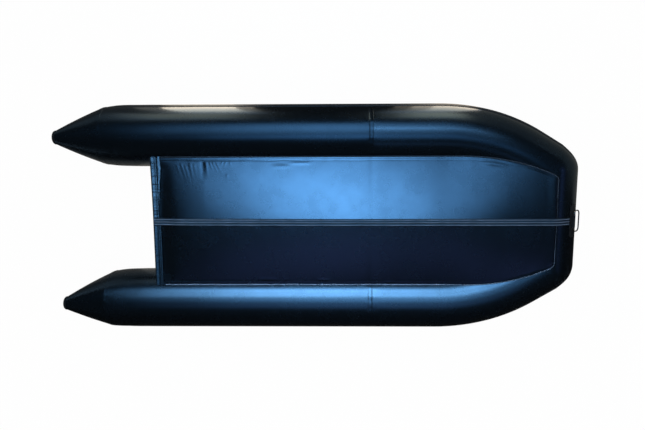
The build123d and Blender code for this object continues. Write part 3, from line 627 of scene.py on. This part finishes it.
def pucker(bm, seam):
    # small gathers of the cloth on both sides of a seam
    size = sideTube
    for v in bm.verts:
        away = abs(v.co.x - seam)
        if away < size["puckerLength"]:
            out = Vector((0, v.co.y - math.copysign(tubeY, v.co.y), v.co.z - axisZ))
            drift = size["puckerDrift"] * noise.noise(v.co * size["driftWaves"])
            wave = math.cos(size["puckers"] * math.atan2(out.y, out.z) + drift)
            v.co += out.normalized() * wave * size["pucker"] * (1 - away / size["puckerLength"]) ** 2


def sideStations():
    size = sideTube
    shoulder, pinches = size["shoulderRings"], size["pinchRings"]
    count = int((seamX - size["shoulderX"]) / size["ringStep"])
    places = [coneHigh.x + (size["shoulderX"] - coneHigh.x) * k / shoulder for k in range(shoulder)]
    places += [size["shoulderX"] + (seamX - size["shoulderX"]) * k / count for k in range(count)]
    places += [seamX - size["pinchLength"] * (1 - k / pinches) for k in range(1, pinches + 1)]
    stations = []
    for x in sorted(places):
        near = max(0.0, 1 - (seamX - x) / size["pinchLength"])
        stations.append((x, sternRadius(x) - size["pinch"] * near * near))
    return stations


def coneStations():
    count = sternCone["rings"]
    places = [coneLow.x + (coneHigh.x - coneLow.x) * k / count for k in range(count + 1)]
    return [(x, sternRadius(x)) for x in places]


def makeTubes(made):
    shells = []
    for name, stations, seams in (("side_tube", sideStations(), (seamX, coneHigh.x)),
                                  ("stern_cone", coneStations(), (coneHigh.x,))):
        bm = bmesh.new()
        ringsAlong(bm, stations)
        for side, work in bothSides(bm):
            for seam in seams:
                pucker(work, seam)
            closeEnds(work)
            if name == "side_tube":
                breathe(work, sideTube["slackness"], sideTube["slackLength"])
                shells.append(work.copy())
            addPiece(f"{name}_skin_{side}", work, made["tube_fabric"], f"{name}_{side}")
    return shells


def makeCaps(made):
    size = coneCap
    centre = Vector((coneLow.x, tubeY, axisZ + tubeRadius - sternCone["tipRadius"]))
    bm = bmesh.new()
    verts = [bm.verts.new(centre + Vector((-back, 0, radius))) for back, radius in size["profile"]]
    edges = [bm.edges.new(pair) for pair in zip(verts, verts[1:])]
    bmesh.ops.spin(bm, geom=verts + edges, cent=centre, axis=(1, 0, 0), dvec=(0, 0, 0), angle=2 * math.pi,
                   steps=size["steps"], use_merge=True)
    bmesh.ops.remove_doubles(bm, verts=bm.verts, dist=weldGap)
    closeEnds(bm)
    for side, work in bothSides(bm):
        addPiece(f"cone_end_{side}", work, made["moulding"], f"cone_cap_{side}", sharp=40)


def sweepAlongTube(bm, ring, startX, steps):
    # carries a ring from startX along the starboard tube, in round the swing, and to the middle of the bow
    place, heading = Vector((startX, tubeY, axisZ)), 0.0
    runs = (("line", swingX - startX), ("swing", swing), ("stub", tubeRun["cornerRun"]), ("turn", turn),
            ("front", cornerY))
    rings = []
    for (kind, size), count in zip(runs, steps):
        for k in range(1, count + 1):
            ahead = Vector((math.cos(heading), -math.sin(heading), 0))
            out = Vector((math.sin(heading), math.cos(heading), 0))
            if kind in ("swing", "turn"):
                centre = place - out * (tubeRun["swingRadius"] if kind == "swing" else 0.0)
                ring = bmesh.ops.spin(bm, geom=ring, cent=centre, axis=(0, 0, -1), dvec=(0, 0, 0),
                                      angle=size / count, steps=1)["geom_last"]
                heading += size / count
                out = Vector((math.sin(heading), math.cos(heading), 0))
                place = centre + out * (tubeRun["swingRadius"] if kind == "swing" else 0.0)
            else:
                ring = carried(bm, ring, ahead * size / count)
                place = place + ahead * size / count
            rings.append((kind, k / count, ringVerts(ring), place.copy(), ahead, out))
    return rings


def mitreCorner(rings, corner):
    # the inner half of the tube meets in a mitre at the bow's corner, and the outer half is rounded
    ahead, out = next((ahead, out) for kind, _, _, _, ahead, out in rings if kind == "stub")
    slope = math.tan(turn / 2)
    for kind, share, verts, place, ringAhead, ringOut in rings:
        for v in verts:
            inner = (v.co - place).dot(ringOut)
            if inner >= 0 or kind in ("line", "swing"):
                continue
            if kind == "stub":
                v.co += ahead * inner * slope * share
            elif kind == "turn":
                v.co = corner + out * inner + ahead * inner * slope + Vector((0, 0, v.co.z - corner.z))
            else:
                v.co -= ringAhead * inner * slope * (1 - share)


def tuckCorner(rings):
    start, atRun = tubeRun["tuckStart"], tubeRun["tuckAtRun"]
    for kind, share, verts, place, ahead, out in rings:
        amount = 0.0
        if kind == "swing":
            amount = atRun * (max(0.0, share - start) / (1 - start)) ** 2
        elif kind == "stub":
            amount = atRun + (1 - atRun) * share
        elif kind == "turn":
            amount = (1 - share) ** 2 * (1 + tubeRun["tuckSwell"] * share)
        for v in verts:
            outer = within((v.co - place).dot(out) / tubeRadius)
            v.co -= out * tubeRun["tuck"] * amount * outer * outer


bowTube = {
    "steps": (12, 24, 8, 18, 14),                                           # rings in each run
    "creaseRounds": 5, "creaseReach": 0.030, "creaseEnd": 0.02, "creaseFactor": 0.5,
}


def makeBowTube(made):
    size = bowTube
    bm = bmesh.new()
    ring = bmesh.ops.create_circle(bm, segments=tubeRun["ringPoints"], radius=tubeRadius,
                                   matrix=onStarboard(seamX, tubeY, axisZ))["verts"]
    ring = ring + bm.edges[:]
    rings = sweepAlongTube(bm, ring, seamX, size["steps"])
    corner = next(place for kind, _, _, place, _, _ in rings if kind == "turn")
    mitreCorner(rings, corner)
    tuckCorner(rings)
    bmesh.ops.remove_doubles(bm, verts=bm.verts, dist=weldGap)
    mirrorAcross(bm, mirrorGap)
    bmesh.ops.remove_doubles(bm, verts=bm.verts, dist=weldGap)
    # the mitre is taped, so its crease is soft
    bisector = Vector((math.sin(swing + turn / 2), math.cos(swing + turn / 2), 0))
    across = Vector((bisector.y, -bisector.x, 0))
    for _ in range(size["creaseRounds"]):
        near = []
        for v in bm.verts:
            away = Vector((v.co.x - corner.x, abs(v.co.y) - corner.y, 0))
            if abs(away.dot(across)) < size["creaseReach"] and away.dot(bisector) < size["creaseEnd"]:
                near.append(v)
        bmesh.ops.smooth_vert(bm, verts=near, factor=size["creaseFactor"],
                              use_axis_x=True, use_axis_y=True, use_axis_z=True)
    for v in bm.verts:
        near = max(0.0, 1 - (v.co.x - seamX) / sideTube["pinchLength"])
        axis = Vector((v.co.x, math.copysign(tubeY, v.co.y), axisZ))
        v.co += (axis - v.co).normalized() * sideTube["pinch"] * near * near
    pucker(bm, seamX)
    closeEnds(bm)
    breathe(bm, sideTube["slackness"], sideTube["slackLength"])
    shell = bm.copy()
    addPiece("bow_tube_skin", bm, made["tube_fabric"], "bow_tube")
    return shell


rubStrake = {
    "startX": -1.365, "taper": 0.26, "leastHeight": 0.0006, "steps": (60, 24, 6, 18, 10),
    # height from the middle of the strake, thickness on the tube
    "profile": ((0.0350, -0.0010), (0.0350, 0.0010), (0.0340, 0.0026), (0.0310, 0.0040), (0.0260, 0.0064),
                (0.0215, 0.0094), (0.0185, 0.0108), (0.0155, 0.0100), (0.0135, 0.0080), (0.0105, 0.0078),
                (0.0085, 0.0096), (0.0055, 0.0114), (0.0020, 0.0120)),
}


def makeStrake(made):
    size = rubStrake
    half = [(math.sqrt(tubeRadius ** 2 - h ** 2) + thick, h) for h, thick in size["profile"]]
    outline = half + [(r, -h) for r, h in reversed(half)]
    bm = bmesh.new()
    ring = outlineOf(bm, [(size["startX"], tubeY + r, axisZ + h) for r, h in outline])
    tuckCorner(sweepAlongTube(bm, ring, size["startX"], size["steps"]))
    for v in bm.verts:                                # its end is cut down to the tube
        ahead = (v.co.x - size["startX"]) / size["taper"]
        if ahead < 1:
            out = Vector((0, v.co.y - tubeY, v.co.z - axisZ))
            full = out.length - tubeRadius
            height = min(full, max(size["leastHeight"], full * ahead * (2 - ahead)))
            surface = sternRadius(v.co.x) + sternLean(v.co.x)
            v.co = Vector((v.co.x, tubeY, axisZ)) + out.normalized() * (surface + height)
    mirrorAcross(bm, mirrorGap)
    closeEnds(bm)
    addPiece("rubbing_strake", bm, made["strake_rubber"], "rub_strake", sharp=60)


# tapes over the seams

seamTape = {
    "halfWidth": 0.015, "sectors": ((13.0, 128.0), (163.0, 347.0)), "sectorSteps": 60,
    # share of the half width, height on the tube: the edges stand up a little, as glued tape does
    "profile": ((-1.0, -0.0008), (-0.99, 0.0008), (-0.93, 0.0015), (-0.82, 0.0015), (-0.7, 0.0009),
                (0.0, 0.0006), (0.7, 0.0009), (0.82, 0.0015), (0.93, 0.0015), (0.99, 0.0008), (1.0, -0.0008)),
}


def makeTapes(made):
    size = seamTape
    half = size["halfWidth"]
    bm = bmesh.new()
    for start, end in size["sectors"]:
        turnIn = Matrix.Translation((seamX, tubeY, axisZ)) @ Matrix.Rotation(math.radians(start), 4, "X")
        ring = outlineOf(bm, [turnIn @ Vector((share * half, tubeRadius - sideTube["pinch"] + height, 0))
                              for share, height in size["profile"]])
        bmesh.ops.spin(bm, geom=ring, cent=(seamX, tubeY, axisZ), axis=(1, 0, 0), dvec=(0, 0, 0),
                       angle=math.radians(end - start), steps=size["sectorSteps"])
    closeEnds(bm)
    for side, work in bothSides(bm):
        pucker(work, seamX)
        addPiece(f"chamber_tape_{side}", work, made["seam_tape"], f"chamber_band_{side}",
                 sharp=70)
    bm = bmesh.new()
    stations = [(coneHigh.x + share * half, sternRadius(coneHigh.x + share * half) + height)
                for share, height in size["profile"]]
    ringsAlong(bm, stations)
    bmesh.ops.bridge_loops(bm, edges=[e for e in bm.edges if e.is_boundary])
    for side, work in bothSides(bm):
        pucker(work, coneHigh.x)
        addPiece(f"cone_tape_{side}", work, made["seam_tape"], f"cone_band_{side}", sharp=70)


# bottom sheet

bottomSheet = {
    "aftX": -1.0197, "frontX": 1.465, "halfWidth": 0.4081, "bendX": 0.900, "cornerY": 0.283,
    # x, height of the keel above the tube axes
    "keelLine": ((-1.0197, 0.1464), (-0.995, 0.1480), (-0.965, 0.1530), (-0.930, 0.1590), (-0.890, 0.1645),
                 (-0.840, 0.1692), (-0.780, 0.1730), (-0.700, 0.1765), (-0.561, 0.1812), (-0.350, 0.1872),
                 (-0.100, 0.1930), (0.20, 0.1970), (0.50, 0.1985), (0.90, 0.1985), (1.13, 0.1970),
                 (1.322, 0.1950), (1.448, 0.1942)),
    "sternColumns": 170, "sternX": -0.50, "columns": 320, "rows": 90, "edgeCrowding": 1.6,
    "keelGap": 0.0001,                                        # half of the gap between the panels, as a share
    "thickness": 0.0016, "lift": 0.0022, "blend": 0.004,      # height on the tubes, softness of the bend
    "pillow": 0.004, "pillowRun": 0.3,                        # swell of each half, and where it has died away
    "flat": (0.412, 2.49), "flatArea": 0.997,                 # each half as cut, with its front corner off
    "seam": 0.023, "seamDepth": 0.0013, "seamWidth": 0.0032,  # the sheet is glued outside this line
    "seamDrift": 0.0025, "seamWaves": 9.0,                    # which isn't quite straight,
    "seamFaint": 0.25, "seamFaintX": 0.1, "seamFadeRun": 0.7, "seamAftRun": 0.1,    # and fades at the bow
    # folds near the stern, starboard: x at the edge, width, height, start and end from the edge, lean
    "folds": ((-0.890, 0.009, 0.0007, 0.040, 0.150, 0.30), (-0.864, 0.009, 0.0009, 0.035, 0.170, 0.32),
              (-0.838, 0.009, 0.0008, 0.045, 0.175, 0.28), (-0.808, 0.010, 0.0010, 0.030, 0.160, 0.20),
              (-0.780, 0.009, 0.0007, 0.040, 0.140, 0.15), (-0.728, 0.013, -0.0030, 0.024, 0.150, 0.05),
              (-0.706, 0.008, 0.0014, 0.026, 0.130, 0.12), (-0.684, 0.006, 0.0011, 0.028, 0.090, 0.40),
              (-0.666, 0.006, 0.0012, 0.028, 0.110, 0.50), (-0.644, 0.006, 0.0010, 0.030, 0.125, 0.55),
              (-0.600, 0.006, 0.0008, 0.028, 0.065, -0.50), (-0.580, 0.006, 0.0008, 0.028, 0.070, -0.30),
              (-0.556, 0.006, 0.0008, 0.028, 0.065, 0.25), (-0.575, 0.007, 0.0009, 0.105, 0.145, 0.10)),
    "foldRise": 0.15, "foldFade": 1.2,                        # share of a fold that rises, power of its end
    "dip": 0.0050, "dipX": -0.990, "dipLength": 0.050,        # the sheet sinks behind the transom's lip
    "dipInset": 0.02, "dipRun": 0.05,
    # unevenness of the glued edge and of the whole sheet: height, then waves along x and y
    "edgeWobble": (0.0006, 22.0, 9.0), "edgeReach": 0.05, "wobble": (0.0004, 5.0, 6.0),
    # slack along the edge: x from, x to, distance from the edge, width, height, side
    "slacks": ((0.98, 1.16, 0.035, 0.014, 0.0022, 1), (-0.40, -0.27, 0.035, 0.008, 0.0015, -1),
               (-0.01, 0.07, 0.032, 0.007, 0.0015, -1), (0.42, 0.48, 0.018, 0.006, 0.0015, -1),
               (-0.20, -0.04, 0.040, 0.010, 0.0010, 1), (-0.30, -0.17, 0.060, 0.012, 0.0010, 1)),
}


def sheetEdgeY(x):
    size = bottomSheet
    if x <= size["bendX"]:
        return size["halfWidth"]
    run, drop = size["frontX"] - size["bendX"], size["halfWidth"] - size["cornerY"]
    radius = (run ** 2 + drop ** 2) / (2 * drop)
    return size["halfWidth"] - radius + math.sqrt(radius ** 2 - (min(x, size["frontX"]) - size["bendX"]) ** 2)


def lineAt(table, x):
    # smooth line through the points of a table
    if x <= table[0][0]:
        return table[0][1]
    if x >= table[-1][0]:
        return table[-1][1]
    k = max(i for i in range(len(table) - 1) if table[i][0] <= x)
    (x0, z0), (x1, z1) = table[k], table[k + 1]
    slopes = []
    for i in (k, k + 1):
        a, b = table[max(i - 1, 0)], table[min(i + 1, len(table) - 1)]
        slopes.append((b[1] - a[1]) / (b[0] - a[0]))
    u, run = (x - x0) / (x1 - x0), x1 - x0
    return ((2 * u ** 3 - 3 * u ** 2 + 1) * z0 + (u ** 3 - 2 * u ** 2 + u) * run * slopes[0]
            + (3 * u ** 2 - 2 * u ** 3) * z1 + (u ** 3 - u ** 2) * run * slopes[1])


def tubeTop(shells, x, y):
    # height of the tubes at a place, looking down from well above the boat
    hits = [tree.ray_cast(Vector((x, y, 2.0)), Vector((0, 0, -1)))[0] for tree in shells]
    heights = [hit.z for hit in hits if hit]
    return max(heights) if heights else 0.0


def foldHeight(x, y, edge):
    size = bottomSheet
    side = 1 if y > 0 else -1
    fromEdge = edge - abs(y)
    rise = 0.0
    if side > 0:
        for foldX, width, height, start, end, lean in size["folds"]:
            if start < fromEdge < end:
                along = (fromEdge - start) / (end - start)
                away = (x - foldX - lean * (fromEdge - start)) / width
                ends = min(1.0, along / size["foldRise"]) * (1 - along) ** size["foldFade"]
                rise += height * math.exp(-away * away) * ends
    for x0, x1, inset, width, height, onSide in size["slacks"]:
        if onSide == side and x0 < x < x1:
            away = (fromEdge - inset) / width
            rise += height * math.exp(-away * away) * math.sin(math.pi * (x - x0) / (x1 - x0))
    # the line where the glue ends, deepest at the stern
    drift = size["seamDrift"] * noise.noise(Vector((x * size["seamWaves"], side, 0.4)))
    away = (fromEdge - size["seam"] - drift) / size["seamWidth"]
    clear = max(size["seamFaint"], min(1.0, (size["seamFaintX"] - x) / size["seamFadeRun"]))
    clear *= min(1.0, (x - size["aftX"]) / size["seamAftRun"])
    rise -= size["seamDepth"] * math.exp(-away * away) * clear
    sunk = (x - size["dipX"]) / size["dipLength"]
    inside = within((fromEdge - size["dipInset"]) / size["dipRun"])
    rise -= size["dip"] * math.exp(-sunk * sunk) * inside
    # the glued edge is never quite even, and nor is the sheet
    height, alongX, alongY = size["edgeWobble"]
    edgeShare = math.exp(-fromEdge / size["edgeReach"])
    rise += height * noise.noise(Vector((x * alongX, y * alongY, side))) * edgeShare
    height, alongX, alongY = size["wobble"]
    return rise + height * noise.noise(Vector((x * alongX, y * alongY, side * 3)))


def bottomHeight(shells, x, y):
    size = bottomSheet
    edge = sheetEdgeY(x)
    across = min(1.0, abs(y) / edge)
    keel = axisZ + lineAt(size["keelLine"], x)
    rim = tubeTop(shells, x, math.copysign(edge, y)) + size["lift"]
    fromEnds = min(x - size["aftX"], size["frontX"] - x)
    pillow = size["pillow"] * min(1.0, fromEnds / size["pillowRun"])
    flat = keel + (rim - keel) * across + 4 * pillow * across * (1 - across)
    tube = tubeTop(shells, x, y) + size["lift"]
    near = max(0.0, 1 - abs(flat - tube) / (2 * size["blend"]))
    return max(flat, tube) + near * near * size["blend"] / 2


def makeBottom(made, shells):
    size = bottomSheet
    panels = []
    for side, sign in (("starboard", 1), ("port", -1)):
        bm = bmesh.new()
        bmesh.ops.create_grid(bm, x_segments=size["columns"], y_segments=size["rows"], size=0.5,
                              matrix=Matrix.Translation((0.5, 0.5, 0)))
        for v in bm.verts:
            column = v.co.x * size["columns"]         # columns are closer at the stern, rows at the tube
            x = size["aftX"] + (size["sternX"] - size["aftX"]) * column / size["sternColumns"]
            if column > size["sternColumns"]:
                share = (column - size["sternColumns"]) / (size["columns"] - size["sternColumns"])
                x = size["sternX"] + (size["frontX"] - size["sternX"]) * share
            across = 1 - max(0.0, 1 - v.co.y) ** size["edgeCrowding"]
            y = sign * max(across, size["keelGap"]) * sheetEdgeY(x)
            v.co = Vector((x, y, bottomHeight(shells, x, y) + foldHeight(x, y, sheetEdgeY(x))))
        panel = addPiece(f"bottom_sheet_{side}", bm, made["bottom_fabric"], f"bottom_panel_{side}")
        if panel.data.polygons[0].normal.z < 0:
            panel.data.flip_normals()
        thicken(panel, size["thickness"])
        panels.append(panel)
    return panels


edgeBead = {
    "radius": 0.0042, "points": 8, "startX": -0.990, "cornerRound": 0.02, "step": 0.02,
    "lift": 0.001, "bowGap": 0.0005,                          # middle above the tube, gap closed at the bow
}


def makeEdgeBead(made, shells):
    # rounded tape over the cut edge of the sheet, where it meets the tube
    size, sheet = edgeBead, bottomSheet
    plan = []
    x = size["startX"]
    while x < sheet["frontX"] - size["cornerRound"]:
        plan.append(Vector((x, sheetEdgeY(x), 0)))
        x += size["step"]
    turnIn = Vector((sheet["frontX"], sheet["cornerY"], 0))
    a, b = plan[-1], turnIn - Vector((0, size["cornerRound"], 0))
    plan += [a.lerp(turnIn, u).lerp(turnIn.lerp(b, u), u) for u in (0.25, 0.5, 0.75, 1.0)]
    count = int(b.y / size["step"])
    plan += [Vector((sheet["frontX"], b.y * (1 - k / count), 0)) for k in range(1, count + 1)]
    path = [Vector((q.x, q.y, tubeTop(shells, q.x, q.y) + size["lift"])) for q in plan]
    bm = bmesh.new()
    ring = bmesh.ops.create_circle(bm, segments=size["points"], radius=size["radius"],
                                   matrix=onStarboard(*path[0]))["verts"]
    ring = ring + bm.edges[:]
    heading = 0.0
    for before, here, after in zip(path, path[1:], path[2:] + [path[-1] * 2 - path[-2]]):
        ahead = after - before
        new = math.atan2(-ahead.y, ahead.x)
        ring = carried(bm, ring, here - before)
        bmesh.ops.rotate(bm, cent=here, matrix=Matrix.Rotation(heading - new, 3, "Z"), verts=ringVerts(ring))
        heading = new
    mirrorAcross(bm, size["bowGap"])
    closeEnds(bm)
    addPiece("sheet_edge_tape", bm, made["sheet_edge"], "sheet_flange", sharp=80)


keelStrip = {
    "startX": -1.047, "steps": 150,
    "wrapDegrees": 34.0, "wrapSteps": 16, "wrapSettle": 3.0, "lift": 0.0004,    # round the bow tube
    "overHem": 0.0035, "hemX": -0.975, "hemRun": 0.012,                         # up over the lip of the hem
    "middle": 0.0005,                                                           # stands for the keel line
    "ribPitch": 0.016, "ribTop": 0.0010, "ribFoot": 0.0022,                     # where the ribs carry the painted highlight and rubbing
    # distance from the middle, height: three round ribs on a flat base
    "profile": ((-0.0240, -0.002), (-0.0240, 0.0012), (-0.0232, 0.0022), (-0.0215, 0.0026), (-0.0200, 0.0028),
                (-0.0188, 0.0044), (-0.0172, 0.0054), (-0.0148, 0.0054), (-0.0132, 0.0044), (-0.0120, 0.0027),
                (-0.0080, 0.0024), (-0.0040, 0.0027), (-0.0028, 0.0044), (-0.0012, 0.0054)),
}


def makeKeelStrip(made, shells):
    size = keelStrip
    left = list(size["profile"])
    outline = left + [(-y, h) for y, h in reversed(left)]
    bm = bmesh.new()
    order = bm.verts.layers.int.new("order")
    ring = outlineOf(bm, [(size["startX"], y, 0) for y, h in outline])
    rings = [ringVerts(ring)]
    for k, v in enumerate(rings[0]):
        v[order] = k
    run = (bowAxisX - size["startX"]) / size["steps"]
    for k in range(size["steps"] + size["wrapSteps"]):
        ring = carried(bm, ring, (run, 0, 0))
        rings.append(sorted(ringVerts(ring), key=lambda v: v[order]))
    crown = bottomHeight(shells, bowAxisX, size["middle"]) - axisZ
    for k, verts in enumerate(rings):
        wrap = max(0.0, k - size["steps"]) / size["wrapSteps"] * math.radians(size["wrapDegrees"])
        x = size["startX"] + run * min(k, size["steps"])
        overHem = size["overHem"] * within((size["hemX"] - x) / size["hemRun"])
        settled = min(1.0, size["wrapSettle"] * wrap)
        for v, (y, h) in zip(verts, outline):
            onSheet = bottomHeight(shells, max(x, bottomSheet["aftX"]), y or size["middle"]) - axisZ
            if wrap:
                onSheet = crown - (crown - tubeRadius - size["lift"]) * settled
            radius = onSheet + overHem + h
            v.co = Vector((x + radius * math.sin(wrap), y, axisZ + radius * math.cos(wrap)))
    closeEnds(bm)
    addPiece("keel_rubber", bm, made["keel_rubber"], "keel_strip", sharp=70)


transomHem = {
    "grooveX": -1.013, "steps": 260, "thickness": 0.0016, "topY": 0.4125, "tubeGap": 0.0006,
    "flat": (0.105, 0.83), "flatArea": 0.082,                 # the strip as cut, narrower towards the keel
    "lipRun": 0.02, "cutFromY": 0.05, "cutRun": 0.28,         # the lip is cut away towards the keel
    "lipReach": 0.006, "lipLift": 0.0018, "lipFlutter": 0.0045,                 # loose lip, starboard
    "reachWaves": (16.0, 42.0), "fineShare": 0.5, "flutterWaves": 15.0,
    "portWide": 0.5, "portSlack": 0.2, "portCrinkle": 0.3,    # the port half is narrower and lies flatter
    "crinkles": ((0.0012, 45.0), (0.0008, 110.0)),            # height and waves of the cloth over the board
    "crinkleFrom": 0.145, "crinkleRun": 0.004, "aftSweep": 0.006,
    # x, height above the tube axes: up the aft face, over the board, into the groove, out to the lip
    "profile": ((-1.0535, 0.1030), (-1.0537, 0.1250), (-1.0535, 0.1400), (-1.0525, 0.1462), (-1.0500, 0.1490),
                (-1.0440, 0.1504), (-1.0360, 0.1508), (-1.0280, 0.1503), (-1.0225, 0.1490), (-1.0190, 0.1478),
                (-1.0160, 0.1476), (-1.0130, 0.1486), (-1.0090, 0.1500), (-1.0030, 0.1506), (-0.9960, 0.1504),
                (-0.9900, 0.1496), (-0.9875, 0.1482)),
}


def makeHem(made):
    size = transomHem
    bm = bmesh.new()
    verts = [bm.verts.new((x, -size["topY"], axisZ + z)) for x, z in size["profile"]]
    edges = [bm.edges.new((a, b)) for a, b in zip(verts, verts[1:])]
    bmesh.ops.spin(bm, geom=verts + edges, cent=(0, 0, 0), axis=(0, 1, 0),
                   dvec=(0, 2 * size["topY"] / size["steps"], 0), angle=0, steps=size["steps"])
    coarse, fine = size["reachWaves"]
    (tall, tallWaves), (low, lowWaves) = size["crinkles"]
    for v in bm.verts:
        height = v.co.z - axisZ
        reach = tubeY - math.sqrt(max(0.0, (tubeRadius + size["tubeGap"]) ** 2 - height ** 2))
        v.co.y *= reach / size["topY"]
        y = v.co.y
        lip = within((v.co.x - size["grooveX"]) / size["lipRun"])
        wide, slack, crinkle = size["portWide"], size["portSlack"], size["portCrinkle"]
        if y > 0:
            wide, slack, crinkle = within((y - size["cutFromY"]) / size["cutRun"]), 1.0, 1.0
        if lip:
            loose = lip * slack * wide
            wave = noise.noise(Vector((1.7, y * coarse, 0.3)))
            wave += size["fineShare"] * noise.noise(Vector((4.2, y * fine, 0.9)))
            flutter = size["lipFlutter"] * noise.noise(Vector((9.1, y * size["flutterWaves"], 0.1)))
            v.co.x = size["grooveX"] + (v.co.x - size["grooveX"]) * wide + loose * size["lipReach"] * wave
            v.co.z += loose * (size["lipLift"] + flutter)
        top = within((height - size["crinkleFrom"]) / size["crinkleRun"]) * (1 - lip) * crinkle
        v.co.z += top * (tall * noise.noise(Vector((3.3, y * tallWaves, 0.5)))
                         + low * noise.noise(Vector((7.0, y * lowWaves, 0.2))))
        v.co.x -= size["aftSweep"] * max(0.0, y / size["topY"]) ** 2 * (1 - lip)
    hem = addPiece("transom_edge_cloth", bm, made["bottom_fabric"], "transom_hem", sharp=75)
    thicken(hem, size["thickness"])
    return hem


# the whole scene, stage by stage

setCamera()
setStage()
finishes = setMaterials()
for part in frame["record"]["subparts"]:
    node = nodes[part["node"]]
    node.data.materials.clear()
    node.data.materials.append(finishes[part["material_slot"]])
print("stage, camera and materials set")
tubeShells = makeTubes(finishes) + [makeBowTube(finishes)]
shellTrees = [BVHTree.FromBMesh(shell) for shell in tubeShells]
for shell in tubeShells:
    shell.free()
makeCaps(finishes)
makeStrake(finishes)
makeTapes(finishes)
print("tubes, caps, strake and tapes made")
panels = makeBottom(finishes, shellTrees)
makeEdgeBead(finishes, shellTrees)
makeKeelStrip(finishes, shellTrees)
hem = makeHem(finishes)
linkLamps()
print("bottom, keel strip and hem made")

bpy.context.scene.view_settings.view_transform = "Standard"
